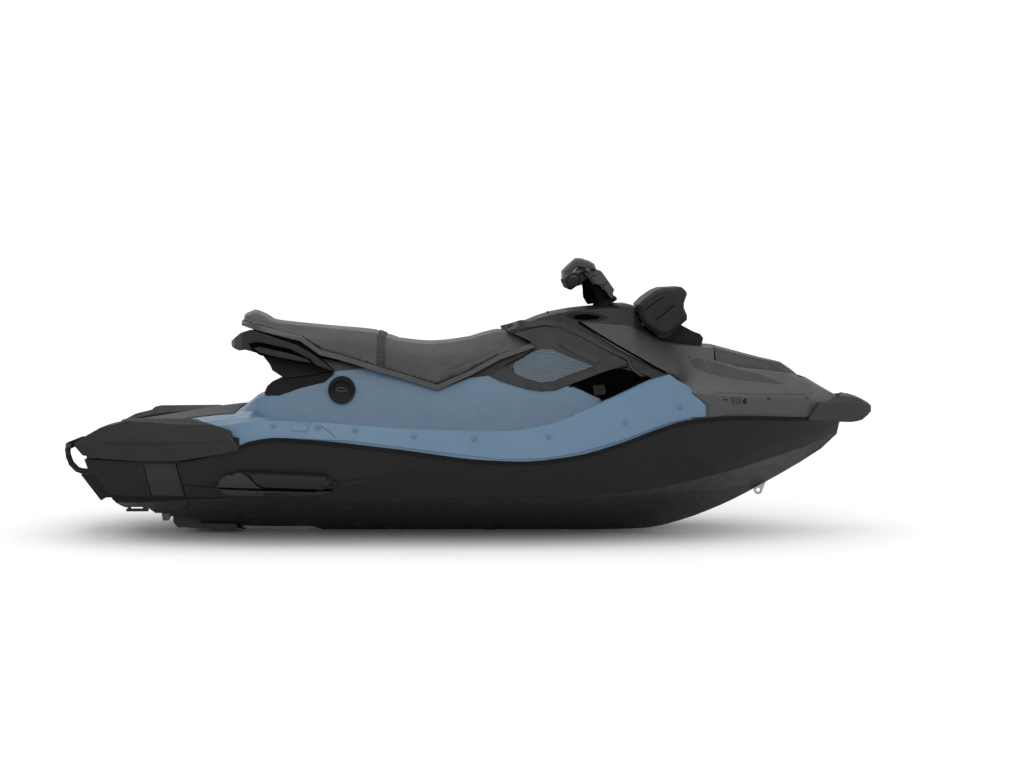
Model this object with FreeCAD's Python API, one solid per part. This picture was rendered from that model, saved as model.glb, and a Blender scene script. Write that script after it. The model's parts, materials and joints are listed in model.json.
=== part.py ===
"""Personal watercraft for three riders, in millimetres.

Bow towards +X, port towards +Y, up +Z. Heights in this file are measured above the baseline,
which is the lowest line of the keel. The finished pieces are moved down by DRAFT, so that the
origin lies in the still waterline, halfway between the tip of the bow bumper and the back of
the stern bumpers.
"""

import FreeCAD
import Part
import functools
import math
import os

V = FreeCAD.Vector

# Overall lines
DRAFT = 190.0
STATION_PITCH = 80.0
SHEER_PITCH = 50.0
SEAT_GAP = 0.4
PIN_CLEARANCE = 0.05
HULL_WALL = 12.0
DECK_WALL = 10.0
PANEL_WALL = 6.0
COWL_WALL = 8.0
TRIM_THICKNESS = 5.0

# Hull fittings
TRANSOM_X = -1100.0
TUNNEL_HALF_WIDTH = 222.0
PLATE_FORE = -963.0
PLATE_AFT = -1211.0
PLATE_HALF = 120.0
PLATE_TOP = 62.0
INTAKE_HALF = 78.0
INTAKE_AFT = -930.0
INTAKE_FORE = -620.0
INTAKE_THROAT = -1000.0
GRATE_LOW = 24.0
GRATE_BAR = 10.0
EYE_X = 1082.0
EYE_Z = 157.0
EYE_HOLE_R = 8.0
EYE_R = 17.0
EYE_WALL = 12.0
SPONSON_DEPTH = 26.0
RAIL_DEPTH = 7.0
ENGINE_AFT = -480.0
ENGINE_FORE = 260.0
ENGINE_HALF = 170.0
ENGINE_TOP = 500.0

# Upper body
COWL_FORE = 1385.0
NOSE_X = 896.0
LID_HINGE_X = 1241.0
LID_HINGE_Z = 605.0
LID_BARREL_R = 6.0
LID_BARREL_HALF = 38.0
BIN_FLOOR = 385.0
BIN_WALL = 5.0
CAP_X = -546.0
CAP_Z = 563.0
CAP_R = 52.0
COLLAR = 16.0
SEAT_BASE_WALL = 20.0
GLOVE_REAR = 100.0
GLOVE_FORE = 250.0
GLOVE_HALF = 86.0
GLOVE_HINGE_Z = 859.0
GLOVE_BARREL_R = 4.0
GLOVE_BARREL_HALF = 30.0
LID_EDGE = 0.8

# Jet drive
PUMP_AXIS_Z = 150.0
PUMP_BORE_R = 71.0
PUMP_WALL = 14.0
PUMP_LENGTH = 195.0
SHAFT_R = 12.0
SHAFT_CLEARANCE = 0.06
HUB_R = 27.0
IMPELLER_GAP = 1.0
IMPELLER_LENGTH = 82.0
IMPELLER_BLADES = 3
IMPELLER_TWIST = 150.0
IMPELLER_BLADE_WALL = 4.0
STATOR_VANES = 7
STATOR_LENGTH = 85.0
VENTURI_LENGTH = 95.0
VENTURI_SPOUT = 34.0
OUTLET_R = 39.0
OUTLET_WALL = 6.0
NOZZLE_PIVOT_X = -1400.0
NOZZLE_BALL_R = 58.0
NOZZLE_WALL = 6.0
NOZZLE_LENGTH = 52.0
NOZZLE_PIN_R = 6.0

# Reverse bucket
BUCKET_PIVOT_X = -1372.0
BUCKET_PIVOT_Z = 165.0
BUCKET_HALF_WIDTH = 118.0
BUCKET_WALL = 8.0
BUCKET_PIN_R = 9.0

# Boarding step
STEP_PIVOT_X = -1425.0
STEP_PIVOT_Z = 262.0
STEP_HALF_WIDTH = 201.0
STEP_BAR_R = 13.0
STEP_EYE_R = 18.0
STEP_PIN_R = 8.0

# Steering
STEER_BASE_X = 470.0
STEER_BASE_Z = 892.0
STEER_LEAN = 33.0
COLUMN_R = 20.0
BAR_R = 11.0
BAR_HALF_WIDTH = 395.0
BAR_BEND_Y = 270.0
GRIP_R = 16.5
GRIP_LENGTH = 125.0
LEVER_R = 6.0
BOOT_R = 58.0
SPEAKER_HALF = 208.0
SPEAKER_LIFT = 4.0
MOUNT_HALF = 62.0

# Stations of the hull: x, keel height, then half breadth and height of strake, chine, knuckle and sheer
HULL_LINES = [
    (-1510, 95, (180, 118), (385, 150), (402, 235), (408, 340)),
    (-1300, 40, (190, 78), (442, 152), (470, 240), (482, 340)),
    (-1100, 6, (200, 60), (480, 166), (520, 242), (532, 350)),
    (-800, 0, (200, 56), (505, 178), (552, 244), (568, 430)),
    (-540, 0, (200, 56), (512, 178), (562, 248), (578, 410)),
    (-330, 0, (200, 56), (516, 178), (568, 282), (582, 385)),
    (-120, 0, (200, 56), (518, 176), (577, 322), (586, 350)),
    (200, 0, (198, 57), (514, 176), (577, 312), (584, 345)),
    (450, 0, (192, 62), (492, 185), (556, 350), (562, 385)),
    (640, 6, (176, 74), (458, 206), (514, 404), (520, 450)),
    (760, 32, (158, 102), (415, 225), (462, 345), (472, 485)),
    (880, 74, (134, 138), (360, 250), (384, 284), (412, 497)),
    (980, 118, (108, 176), (300, 270), (322, 306), (356, 500)),
    (1100, 182, (80, 225), (215, 300), (240, 345), (290, 490)),
    (1250, 268, (42, 295), (105, 335), (132, 375), (190, 480)),
    (1330, 320, (20, 337), (48, 360), (74, 392), (128, 478)),
    (1391, 378, (9, 388), (20, 402), (36, 424), (62, 472)),
    (1404, 432, (4, 436), (8, 442), (14, 450), (26, 470)),
]

# Side view of the sheer, where the deck is bonded to the hull: x and height
SHEER_LINE = [
    (-1520, 312), (-1300, 310), (-1109, 314), (-950, 352), (-860, 390), (-765, 404), (-636, 397),
    (-303, 361), (0, 323), (150, 317), (344, 337), (512, 382), (663, 435), (780, 464), (935, 472),
    (1259, 456), (1430, 452),
]

# Stations of the upper body: x, then its corners from the sheer inwards: sheer, gunwale outside, gunwale inside,
# floor outside, floor inside, flank, shoulder, and the height on the centreline
UPPER_LINES = [
    (-1500, (372, 290), (362, 388), (330, 396), (300, 400), (200, 403), (150, 404), (100, 405), 406),
    (-1330, (442, 290), (428, 408), (390, 418), (340, 424), (220, 428), (150, 429), (100, 430), 431),
    (-1150, (502, 290), (484, 428), (440, 442), (380, 452), (230, 458), (170, 459), (110, 460), 461),
    (-1000, (538, 318), (505, 442), (455, 462), (400, 474), (236, 478), (180, 479), (120, 480), 481),
    (-940, (552, 338), (522, 450), (472, 468), (428, 476), (238, 484), (186, 487), (124, 489), 490),
    (-875, (560, 360), (539, 462), (484, 475), (450, 474), (240, 488), (190, 528), (148, 540), 542),
    (-848, (563, 367), (544, 465), (488, 475), (453, 464), (240, 470), (191, 541), (148, 547), 549),
    (-815, (566, 372), (548, 468), (491, 475), (456, 436), (241, 440), (185, 600), (150, 780), 784),
    (-640, (573, 370), (556, 460), (500, 462), (460, 345), (244, 340), (178, 600), (130, 780), 786),
    (-400, (580, 340), (563, 440), (506, 441), (464, 300), (248, 296), (176, 600), (130, 740), 746),
    (-150, (584, 310), (568, 428), (508, 429), (466, 290), (250, 286), (172, 600), (130, 720), 726),
    (80, (583, 295), (566, 424), (506, 425), (464, 290), (250, 286), (168, 610), (118, 782), 794),
    (260, (577, 298), (556, 452), (496, 453), (456, 292), (250, 288), (164, 640), (108, 850), 863),
    (390, (565, 322), (541, 505), (481, 507), (441, 296), (251, 292), (162, 640), (103, 869), 883),
    (494, (550, 345), (522, 548), (462, 550), (420, 305), (253, 300), (162, 640), (102, 875), 889),
    (585, (530, 380), (502, 590), (442, 592), (394, 335), (255, 325), (165, 640), (101, 866), 881),
    (622, (519, 393), (490, 606), (430, 608), (378, 360), (256, 350), (168, 640), (100, 795), 808),
    (700, (490, 415), (462, 628), (405, 629), (340, 440), (258, 420), (176, 640), (98, 744), 757),
    (786, (452, 432), (430, 568), (375, 578), (310, 584), (262, 590), (184, 640), (100, 729), 742),
    (900, (393, 440), (373, 548), (300, 568), (270, 575), (240, 590), (176, 636), (90, 721), 733),
]

# Stations of the bow cowl: x, then sheer, edge, fairing, hood foot and the height on the centreline
BOW_LINES = [
    (786, (452, 432), (430, 564), (330, 584), (205, 640), 650),
    (935, (376, 442), (358, 546), (280, 580), (165, 630), 641),
    (1096, (286, 436), (272, 536), (215, 570), (112, 616), 626),
    (1200, (220, 430), (206, 528), (160, 562), (78, 606), 616),
    (1262, (178, 428), (165, 520), (130, 548), (56, 595), 605),
    (1321, (134, 427), (122, 508), (98, 527), (38, 562), 570),
    (1385, (66, 426), (58, 492), (46, 504), (22, 528), 533),
]

# Stations of the storage lid: x, then foot, flank, shoulder and the height on the centreline
LID_LINES = [
    (900, (178, 622), (158, 674), (76, 722), 731),
    (967, (160, 614), (138, 660), (68, 704), 713),
    (1085, (122, 604), (102, 642), (52, 676), 682),
    (1164, (92, 598), (76, 630), (38, 658), 664),
    (1203, (74, 592), (60, 612), (30, 632), 638),
    (1230, (60, 588), (48, 600), (24, 612), 616),
]

# Stations of the rear cover: x, then foot, flank, shoulder and the height on the centreline
TAIL_LINES = [
    (-900, (207, 540), (186, 600), (152, 780), 790),
    (-815, (206, 540), (185, 600), (150, 780), 788),
    (-640, (193, 540), (178, 600), (130, 780), 786),
    (-400, (188, 540), (176, 600), (130, 740), 746),
]

# Stations of the bow bumper: x, then foot, side, top edge and the height on the centreline
BUMPER_LINES = [
    (1250, (196, 446), (193, 506), (150, 548), 572),
    (1340, (138, 438), (136, 508), (100, 538), 553),
    (1438, (78, 430), (75, 505), (52, 528), 537),
    (1485, (46, 437), (44, 500), (32, 514), 519),
    (1509, (28, 455), (27, 490), (18, 500), 505),
    (1524, (12, 468), (11, 484), (7, 490), 493),
]

# Stations of the stern bumper: x, then its closed outline on the port side, from inside foot over the top
STERN_BUMPER_LINES = [
    (-1532, (300, 300), (300, 400), (350, 420), (420, 408), (446, 360), (440, 300)),
    (-1330, (320, 300), (320, 440), (400, 468), (452, 460), (500, 400), (498, 300)),
    (-1150, (340, 300), (340, 455), (430, 468), (496, 450), (548, 390), (548, 300)),
    (-890, (380, 300), (380, 470), (480, 470), (540, 450), (578, 390), (580, 300)),
]

# Stations of the seat: x, then foot, flank, shoulder and the height on the centreline
SEAT_LINES = [
    (-941, (110, 780), (108, 812), (76, 836), 843),
    (-890, (180, 740), (170, 822), (110, 862), 870),
    (-829, (207, 700), (184, 782), (118, 822), 831),
    (-760, (213, 680), (190, 772), (124, 812), 821),
    (-600, (214, 640), (194, 752), (128, 796), 805),
    (-421, (214, 600), (192, 732), (126, 778), 788),
    (-337, (212, 580), (188, 708), (122, 748), 758),
    (-209, (208, 540), (178, 690), (110, 734), 745),
    (-53, (204, 540), (168, 702), (98, 752), 763),
    (44, (202, 560), (160, 722), (88, 780), 791),
    (208, (192, 600), (150, 722), (80, 780), 791),
]

# Side view of the parting lines
SEAT_UNDERSIDE = [(-946, 811), (-895, 797), (-803, 774), (-706, 751), (-629, 697), (-552, 678),
                  (-452, 647), (-321, 608), (-179, 562), (-51, 616), (64, 678), (206, 727)]
SEAT_NOSE = [(206, 727), (180, 748), (76, 794)]
DECK_TOP = [(-1700, 552), (-846, 552), (-835, 541), (-787, 541), (-710, 568), (-613, 591),
            (-582, 618), (-575, 640), (-552, 678), (-452, 647), (-321, 608), (-179, 562),
            (-51, 608), (22, 616), (64, 596), (168, 565), (219, 557), (277, 561), (325, 578),
            (408, 552), (465, 522), (520, 500), (1000, 500)]
TAIL_REAR = [(-857, 800), (-857, 699), (-826, 661), (-815, 637), (-772, 609), (-814, 595),
             (-834, 576), (-843, 552.4), (-836, 541.5)]

# Plan view of the black parts between the two footwells, port side
CONSOLE_PLAN = [(-120, 238), (300, 300), (455, 425), (540, 425), (700, 385), (786, 377), (786, 200),
                (896, 200)]

# Side view outlines of the stern, the sponson and the bumpers
STERN_EDGE = [(-1700, 450), (-1700, -60), (-1215, -60), (-1215, 87), (-1227, 102), (-1253, 113),
              (-1298, 125), (-1355, 121), (-1370, 140), (-1392, 159), (-1460, 253), (-1487, 272),
              (-1512, 340)]
SPONSON_SIDE = [(-991, 219), (-965, 256), (-943, 267), (-895, 278), (-814, 278), (-581, 267),
                (-544, 227), (-636, 197), (-951, 186), (-980, 205)]
STERN_BUMPER_SIDE = [(-1532, 366), (-1500, 330), (-1413, 318), (-1265, 313), (-1136, 316),
                     (-1043, 331), (-899, 357), (-899, 371), (-917, 393), (-936, 430), (-988, 445),
                     (-1043, 456), (-1099, 467), (-1353, 467), (-1368, 449), (-1436, 433),
                     (-1489, 403), (-1530, 377)]
BUMPER_SIDE = [(1257, 380), (1257, 453), (1281, 484), (1296, 503), (1312, 511), (1352, 549),
               (1352, 700), (1600, 700), (1600, 380)]

# Plan view of the opening under the storage lid
BIN_PLAN = [(908, 122), (1000, 110), (1150, 68), (1150, -68), (1000, -110), (908, -122)]

# Side views of the covers on the sides
PANEL_SIDE = [(-628, 466), (-656, 400), (-500, 395), (-303, 371), (-118, 348), (66, 327),
              (232, 329), (344, 347), (512, 392), (663, 445), (786, 473), (838, 474), (838, 515),
              (815, 538), (740, 595), (680, 660), (600, 1000), (-700, 1000)]
PANEL_INNER = [(-700, 512), (300, 506), (494, 470), (608, 444), (786, 400), (850, 360)]
KNEE_SIDE = [(114, 777), (168, 799), (238, 812), (284, 812), (335, 800), (451, 750), (559, 688),
             (574, 673), (528, 650), (451, 626), (393, 603), (315, 576), (277, 561), (219, 557),
             (168, 565), (64, 596), (24, 616), (64, 638), (141, 677), (199, 712)]
KNEE_INSET = [(110, 640), (122, 656), (180, 688), (223, 704), (265, 704), (335, 673), (431, 638),
              (373, 617), (304, 592), (265, 578), (219, 576), (168, 588), (122, 606)]
KNEE_SLOT = [(292, 730), (306, 733), (374, 703), (451, 666), (432, 658), (354, 690)]
ARM_SIDE = [(374, 819), (451, 807), (579, 799), (625, 768), (683, 745), (760, 706), (812, 690),
            (812, 612), (730, 621), (683, 637), (606, 676), (528, 714), (451, 765)]

# Side view of the grab handle and the dark slot along its arms
HANDLE_SIDE = [(-992, 742), (-963, 762), (-936, 782), (-898, 794), (-801, 763), (-717, 736),
               (-667, 709), (-609, 668), (-574, 636), (-694, 678), (-763, 682), (-851, 701),
               (-917, 717), (-944, 713), (-978, 724)]
HANDLE_SLOT = [(-880, 751), (-705, 701), (-708, 692), (-880, 741)]
HANDLE_OUTER = [(-988, 0), (-984, 80), (-965, 140), (-930, 186), (-880, 214), (-800, 226), (-570, 230)]
HANDLE_INNER = [(-948, 0), (-946, 80), (-930, 130), (-896, 170), (-862, 190), (-855, 150), (-570, 150)]

# Side views of the step, the bucket, the towing fairing and the parts round the handlebar
STEP_ARM = [(STEP_PIVOT_X, STEP_PIVOT_Z), (-1534, 246), (-1574, 257), (-1601, 302), (-1606, 350)]
STEP_TREAD = [(-1617, 328), (-1621, 378), (-1594, 378), (-1590, 330)]
BUCKET_SIDE = [(-1569, 227), (-1492, 126), (-1472, 138), (-1441, 138), (-1390, 146), (-1372, 146),
               (-1354, 165), (-1372, 186), (-1450, 214), (-1531, 262)]
BUCKET_BACK = [(-1506, 248), (-1531, 262), (-1569, 227), (-1492, 126)]
COVER_SIDE = [(-72, 199), (-72, 182), (-45, 160), (-24, 138), (-22, 96), (54, 96), (54, 114),
              (46, 137), (44, 171), (18, 202), (-16, 206)]
SPEAKER_SIDE = [(596, 890), (623, 917), (662, 944), (689, 955), (762, 959), (777, 947), (785, 932),
                (773, 897), (773, 878), (785, 851), (785, 832), (762, 813), (739, 789), (712, 770),
                (685, 766), (642, 793), (615, 820), (604, 851)]
BRACKET_SIDE = [(694, 740), (694, 790), (772, 809), (815, 786), (846, 774), (858, 758), (850, 725),
                (768, 725)]

# Handlebar's line about the steering axis
BAR_PATH = [(-60, -BAR_HALF_WIDTH, 145), (-52, -BAR_BEND_Y, 150), (-12, -130, 160), (-12, 130, 160),
            (-52, BAR_BEND_Y, 150), (-60, BAR_HALF_WIDTH, 145)]


def closed_wire(points):
    """A closed wire of straight edges through the points."""
    return Part.makePolygon([V(*p) for p in points] + [V(*points[0])])


def offset_line(points, distance, closed=False):
    """The points of a flat line moved sideways, to the left of its direction, with mitred corners."""
    count = len(points)
    moved = []
    for i in range(count):
        before = points[i - 1] if (closed or i > 0) else None
        after = points[(i + 1) % count] if (closed or i < count - 1) else None
        normals = []
        for a, b in ((before, points[i]), (points[i], after)):
            if a is None or b is None:
                continue
            length = math.hypot(b[0] - a[0], b[1] - a[1])
            normals.append((-(b[1] - a[1]) / length, (b[0] - a[0]) / length))
        if len(normals) == 1:
            nx, ny = normals[0]
            scale = 1.0
        else:
            nx = normals[0][0] + normals[1][0]
            ny = normals[0][1] + normals[1][1]
            size = math.hypot(nx, ny)
            nx, ny = nx / size, ny / size
            scale = 1.0 / max(0.35, nx * normals[0][0] + ny * normals[0][1])
        moved.append((points[i][0] + nx * distance * scale, points[i][1] + ny * distance * scale))
    return moved


def graded(knots, x):
    """The value at x of a smooth line through knots of (x, value) that doesn't overshoot between them."""
    xs = [k[0] for k in knots]
    ys = [k[1] for k in knots]
    i = max(0, min(len(xs) - 2, sum(1 for v in xs if v <= x) - 1))
    step = xs[i + 1] - xs[i]
    rise = (ys[i + 1] - ys[i]) / step
    slopes = []
    for j in (i, i + 1):
        if j == 0 or j == len(xs) - 1:
            slopes.append(rise)
            continue
        a = (ys[j] - ys[j - 1]) / (xs[j] - xs[j - 1])
        b = (ys[j + 1] - ys[j]) / (xs[j + 1] - xs[j])
        slopes.append(0.0 if a * b <= 0 else 2 * a * b / (a + b))
    t = (x - xs[i]) / step
    blend = 3 * t ** 2 - 2 * t ** 3
    bend = (t - 2 * t ** 2 + t ** 3) * slopes[0] + (t ** 3 - t ** 2) * slopes[1]
    return ys[i] + blend * (ys[i + 1] - ys[i]) + bend * step


def stations(table, pitch=STATION_PITCH):
    """Rows of a table with more between them, none further apart than the pitch, each as x and its corners."""
    rows = []
    for x, *corners in table:
        flat = []
        for corner in corners:
            flat += list(corner) if isinstance(corner, tuple) else [0.0, corner]
        rows.append((x, flat))
    places = []
    for (a, _), (b, _) in zip(rows, rows[1:]):
        count = int(math.ceil((b - a) / pitch))
        places += [a + (b - a) * i / count for i in range(count)]
    places.append(rows[-1][0])
    result = []
    for x in places:
        flat = [graded([(row[0], row[1][j]) for row in rows], x) for j in range(len(rows[0][1]))]
        result.append((x, list(zip(flat[0::2], flat[1::2]))))
    return result


def loft(sections):
    """A solid through sections, each given as x and a closed list of (y, z)."""
    wires = [closed_wire([(x, y, z) for y, z in points]) for x, points in sections]
    return Part.makeLoft(wires, True, True)


def both_sides(half):
    """A line of (y, z) from starboard to port, from its port half, which ends at the centreline."""
    return [(-y, z) for y, z in half] + [(y, z) for y, z in reversed(half) if abs(y) > 1e-6]


def skin(line, inner, outer):
    """A closed thin section between two offsets of a line that runs from starboard to port, outer above."""
    return offset_line(line, outer) + list(reversed(offset_line(line, inner)))


def prism_y(outline, y0, y1):
    """A solid with a side view of straight edges, from y0 to y1."""
    face = Part.Face(closed_wire([(x, y0, z) for x, z in outline]))
    return face.extrude(V(0, y1 - y0, 0))


def prism_z(outline, z0, z1):
    """A solid with a plan view of straight edges, from z0 to z1."""
    face = Part.Face(closed_wire([(x, y, z0) for x, y in outline]))
    return face.extrude(V(0, 0, z1 - z0))


def sheer_slab(lift_low, lift_high, half_width=700.0):
    """The space between two copies of the sheer line, with None for no limit on that side."""
    first, last = SHEER_LINE[0][0], SHEER_LINE[-1][0]
    xs = [first + SHEER_PITCH * i for i in range(int((last - first) / SHEER_PITCH))]
    xs.append(last)
    low = [(x, graded(SHEER_LINE, x) + lift_low if lift_low is not None else -400.0) for x in xs]
    high = [(x, graded(SHEER_LINE, x) + lift_high if lift_high is not None else 1500.0) for x in xs]
    return prism_y(low + high[::-1], -half_width, half_width)


def below(line, gap, half_width=700.0):
    """The space under a side view line, less a gap."""
    return prism_y([(x, z - gap) for x, z in line] + [(line[-1][0], -400.0), (line[0][0], -400.0)],
                   -half_width, half_width)


def above(line, gap, half_width=700.0):
    """The space over a side view line, less a gap."""
    return prism_y([(x, z + gap) for x, z in line] + [(line[-1][0], 1500.0), (line[0][0], 1500.0)],
                   -half_width, half_width)


def both_halves(line):
    """A closed plan outline from its port side, given from aft forwards."""
    return line + [(x, -y) for x, y in reversed(line)]


def trimmed(shape, x_from, x_to):
    """The part of a shape between two places along the craft."""
    return shape.common(Part.makeBox(x_to - x_from, 2000, 3000, V(x_from, -1000, -1000)))


def mirrored(shape):
    """The same piece on the other side of the centre plane."""
    return shape.mirror(V(0, 0, 0), V(0, 1, 0))


def cylinder_y(x, z, radius, y0, y1):
    """A round bar across the craft."""
    return Part.makeCylinder(radius, y1 - y0, V(x, y0, z), V(0, 1, 0))


def cylinder_x(z, radius, x0, x1, y=0.0):
    """A round bar along the craft."""
    return Part.makeCylinder(radius, x1 - x0, V(x0, y, z), V(1, 0, 0))


def cone_x(z, x0, r0, x1, r1):
    """A round taper along the craft, from x0 aft to x1."""
    return Part.makeCone(r0, r1, x0 - x1, V(x0, 0, z), V(-1, 0, 0))


def box(x0, x1, y0, y1, z0, z1):
    """A block between two corners."""
    return Part.makeBox(x1 - x0, y1 - y0, z1 - z0, V(x0, y0, z0))


def side_box(x0, x1, y0, y1, z0, z1, side):
    """A block given on the port side, on the side asked for."""
    return box(x0, x1, min(side * y0, side * y1), max(side * y0, side * y1), z0, z1)


# Hull


@functools.lru_cache(maxsize=None)
def hull_body(grow=0.0, top=600.0):
    """The hull as a full body up to a height, its bottom and sides moved outwards by grow."""
    sections = []
    for x, corners in stations(HULL_LINES):
        keel, strake, chine, knuckle, sheer = corners
        line = [(-y, z) for y, z in (sheer, knuckle, chine, strake)] + [keel, strake, chine, knuckle, sheer]
        moved = offset_line(line, -grow) if grow else line
        sections.append((x, [(moved[0][0], top)] + moved + [(moved[-1][0], top)]))
    return loft(sections)


def hull_cavity(wall):
    """The space inside the hull, open upwards."""
    return trimmed(hull_body(-wall, 700.0), TRANSOM_X + 15, 1236)


def make_hull():
    """Moulded lower hull: hollow, with the intake duct and the pump tunnel between the two stern wings."""
    hull = hull_body().common(sheer_slab(None, 0.0))
    hull = hull.cut(hull_cavity(HULL_WALL))
    duct_block = box(TRANSOM_X + 10, INTAKE_FORE + 60, -110, 110, 20, 245)
    hull = hull.fuse(duct_block.common(hull_body(-HULL_WALL / 2)))
    hull = hull.cut(box(-1600, TRANSOM_X, -TUNNEL_HALF_WIDTH, TUNNEL_HALF_WIDTH, -100, 500))
    hull = hull.cut(prism_y(STERN_EDGE, -600, 600))
    slot = PLATE_HALF + SEAT_GAP
    hull = hull.cut(box(-1300, PLATE_FORE + SEAT_GAP, -slot, slot, -50, PLATE_TOP + SEAT_GAP))
    top = PUMP_AXIS_Z + PUMP_BORE_R
    low = PUMP_AXIS_Z - PUMP_BORE_R
    ramp = [(INTAKE_THROAT, top), (INTAKE_FORE, -10), (INTAKE_AFT, -10), (INTAKE_THROAT, low)]
    hull = hull.cut(prism_y(ramp, -INTAKE_HALF, INTAKE_HALF))
    hull = hull.cut(cylinder_x(PUMP_AXIS_Z, PUMP_BORE_R, TRANSOM_X - 10, INTAKE_THROAT + 1))
    hull = hull.cut(cylinder_x(PUMP_AXIS_Z, SHAFT_R + 1.5, INTAKE_THROAT, INTAKE_FORE + 100))
    reach = TUNNEL_HALF_WIDTH + 26
    return hull.cut(cylinder_y(STEP_PIVOT_X, STEP_PIVOT_Z, STEP_PIN_R + PIN_CLEARANCE, -reach, reach))


def make_rub_rail():
    """Black trim round the bond between hull and deck."""
    band = sheer_slab(-15.0, -1.0)
    outside = trimmed(hull_body(RAIL_DEPTH).common(band), -885, 1262)
    return outside.cut(hull_body(SEAT_GAP))


def make_sponson(side):
    """Side fin bolted to the hull above the chine."""
    fin = hull_body(SPONSON_DEPTH).common(prism_y(SPONSON_SIDE, 300, 700)).cut(hull_body(SEAT_GAP))
    return fin if side > 0 else mirrored(fin)


def make_ride_plate():
    """Flat plate under the pump, let into the hull bottom."""
    outline = [(PLATE_AFT, PLATE_TOP), (PLATE_AFT, 44), (PLATE_AFT + 17, 22), (PLATE_FORE, 10),
               (PLATE_FORE, PLATE_TOP)]
    return prism_y(outline, -PLATE_HALF, PLATE_HALF)


def make_intake_grate():
    """Rock grate of four bars and two cross bars in the mouth of the intake."""
    reach = INTAKE_HALF - SEAT_GAP
    low, high = GRATE_LOW, GRATE_LOW + GRATE_BAR
    fore, aft = INTAKE_FORE - 74, INTAKE_AFT + 14
    grate = box(fore - 22, fore, -reach, reach, low, high)
    grate = grate.fuse(box(aft, aft + 20, -reach, reach, low, high))
    for i in range(4):
        y = -reach + (i + 0.5) * reach / 2
        grate = grate.fuse(box(aft, fore, y - 4, y + 4, low, high))
    return grate


def make_bow_eye():
    """Towing eye under the stem."""
    half = EYE_WALL / 2
    plate = cylinder_y(EYE_X, EYE_Z, EYE_R, -half, half)
    web = [(EYE_X - EYE_R, EYE_Z), (EYE_X + EYE_R, EYE_Z), (EYE_X + EYE_R + 24, EYE_Z + 60),
           (EYE_X - 34, EYE_Z + 60)]
    plate = plate.fuse(prism_y(web, -half, half)).cut(cylinder_y(EYE_X, EYE_Z, EYE_HOLE_R, -20, 20))
    return plate.cut(hull_body(SEAT_GAP))


# Jet drive


def make_pump_housing():
    """Pump duct with its stator: vanes that carry the hub behind the impeller."""
    fore = TRANSOM_X - 0.5
    aft = fore - PUMP_LENGTH
    duct = cylinder_x(PUMP_AXIS_Z, PUMP_BORE_R + PUMP_WALL, aft, fore)
    duct = duct.fuse(box(fore - 22, fore, -112, 112, PUMP_AXIS_Z - 80, PUMP_AXIS_Z + 92))
    duct = duct.cut(cylinder_x(PUMP_AXIS_Z, PUMP_BORE_R, aft - 1, fore + 1))
    hub = cylinder_x(PUMP_AXIS_Z, HUB_R, aft + 1, aft + STATOR_LENGTH)
    stator = duct.fuse(hub.fuse(cone_x(PUMP_AXIS_Z, aft + 1, HUB_R, aft - 54, 10)))
    for i in range(STATOR_VANES):
        vane = box(aft + 12, aft + STATOR_LENGTH - 10, -2, 2,
                   PUMP_AXIS_Z + HUB_R - 2, PUMP_AXIS_Z + PUMP_BORE_R + 3)
        vane.rotate(V(0, 0, PUMP_AXIS_Z), V(1, 0, 0), 360.0 / STATOR_VANES * i)
        stator = stator.fuse(vane)
    return stator.cut(cylinder_x(PUMP_AXIS_Z, SHAFT_R + SHAFT_CLEARANCE, aft + 40, aft + STATOR_LENGTH + 1))


def make_impeller():
    """Impeller of swept blades with its drive shaft."""
    aft = TRANSOM_X - 0.5 - PUMP_LENGTH + STATOR_LENGTH + 5
    fore = aft + IMPELLER_LENGTH
    rotor = cylinder_x(PUMP_AXIS_Z, HUB_R, aft, fore)
    rotor = rotor.fuse(cone_x(PUMP_AXIS_Z, fore + 30, SHAFT_R + 1, fore, HUB_R))
    rotor = rotor.fuse(cylinder_x(PUMP_AXIS_Z, SHAFT_R, aft - 44, ENGINE_AFT - 0.5))
    half = IMPELLER_BLADE_WALL / 2
    for i in range(IMPELLER_BLADES):
        wires = []
        for k in range(7):
            t = k / 6.0
            angle = math.radians(360.0 / IMPELLER_BLADES * i + IMPELLER_TWIST * t)
            x = aft + 4 + (IMPELLER_LENGTH - 10) * t
            rim = PUMP_BORE_R - IMPELLER_GAP - 10 * t
            across = (-math.sin(angle), math.cos(angle))
            along = (math.cos(angle), math.sin(angle))
            corners = []
            for r, s in ((HUB_R - 4, -half), (rim, -half), (rim, half), (HUB_R - 4, half)):
                corners.append((x, r * along[0] + s * across[0],
                                PUMP_AXIS_Z + r * along[1] + s * across[1]))
            wires.append(closed_wire(corners))
        rotor = rotor.fuse(Part.makeLoft(wires, True, False))
    return rotor


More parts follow.
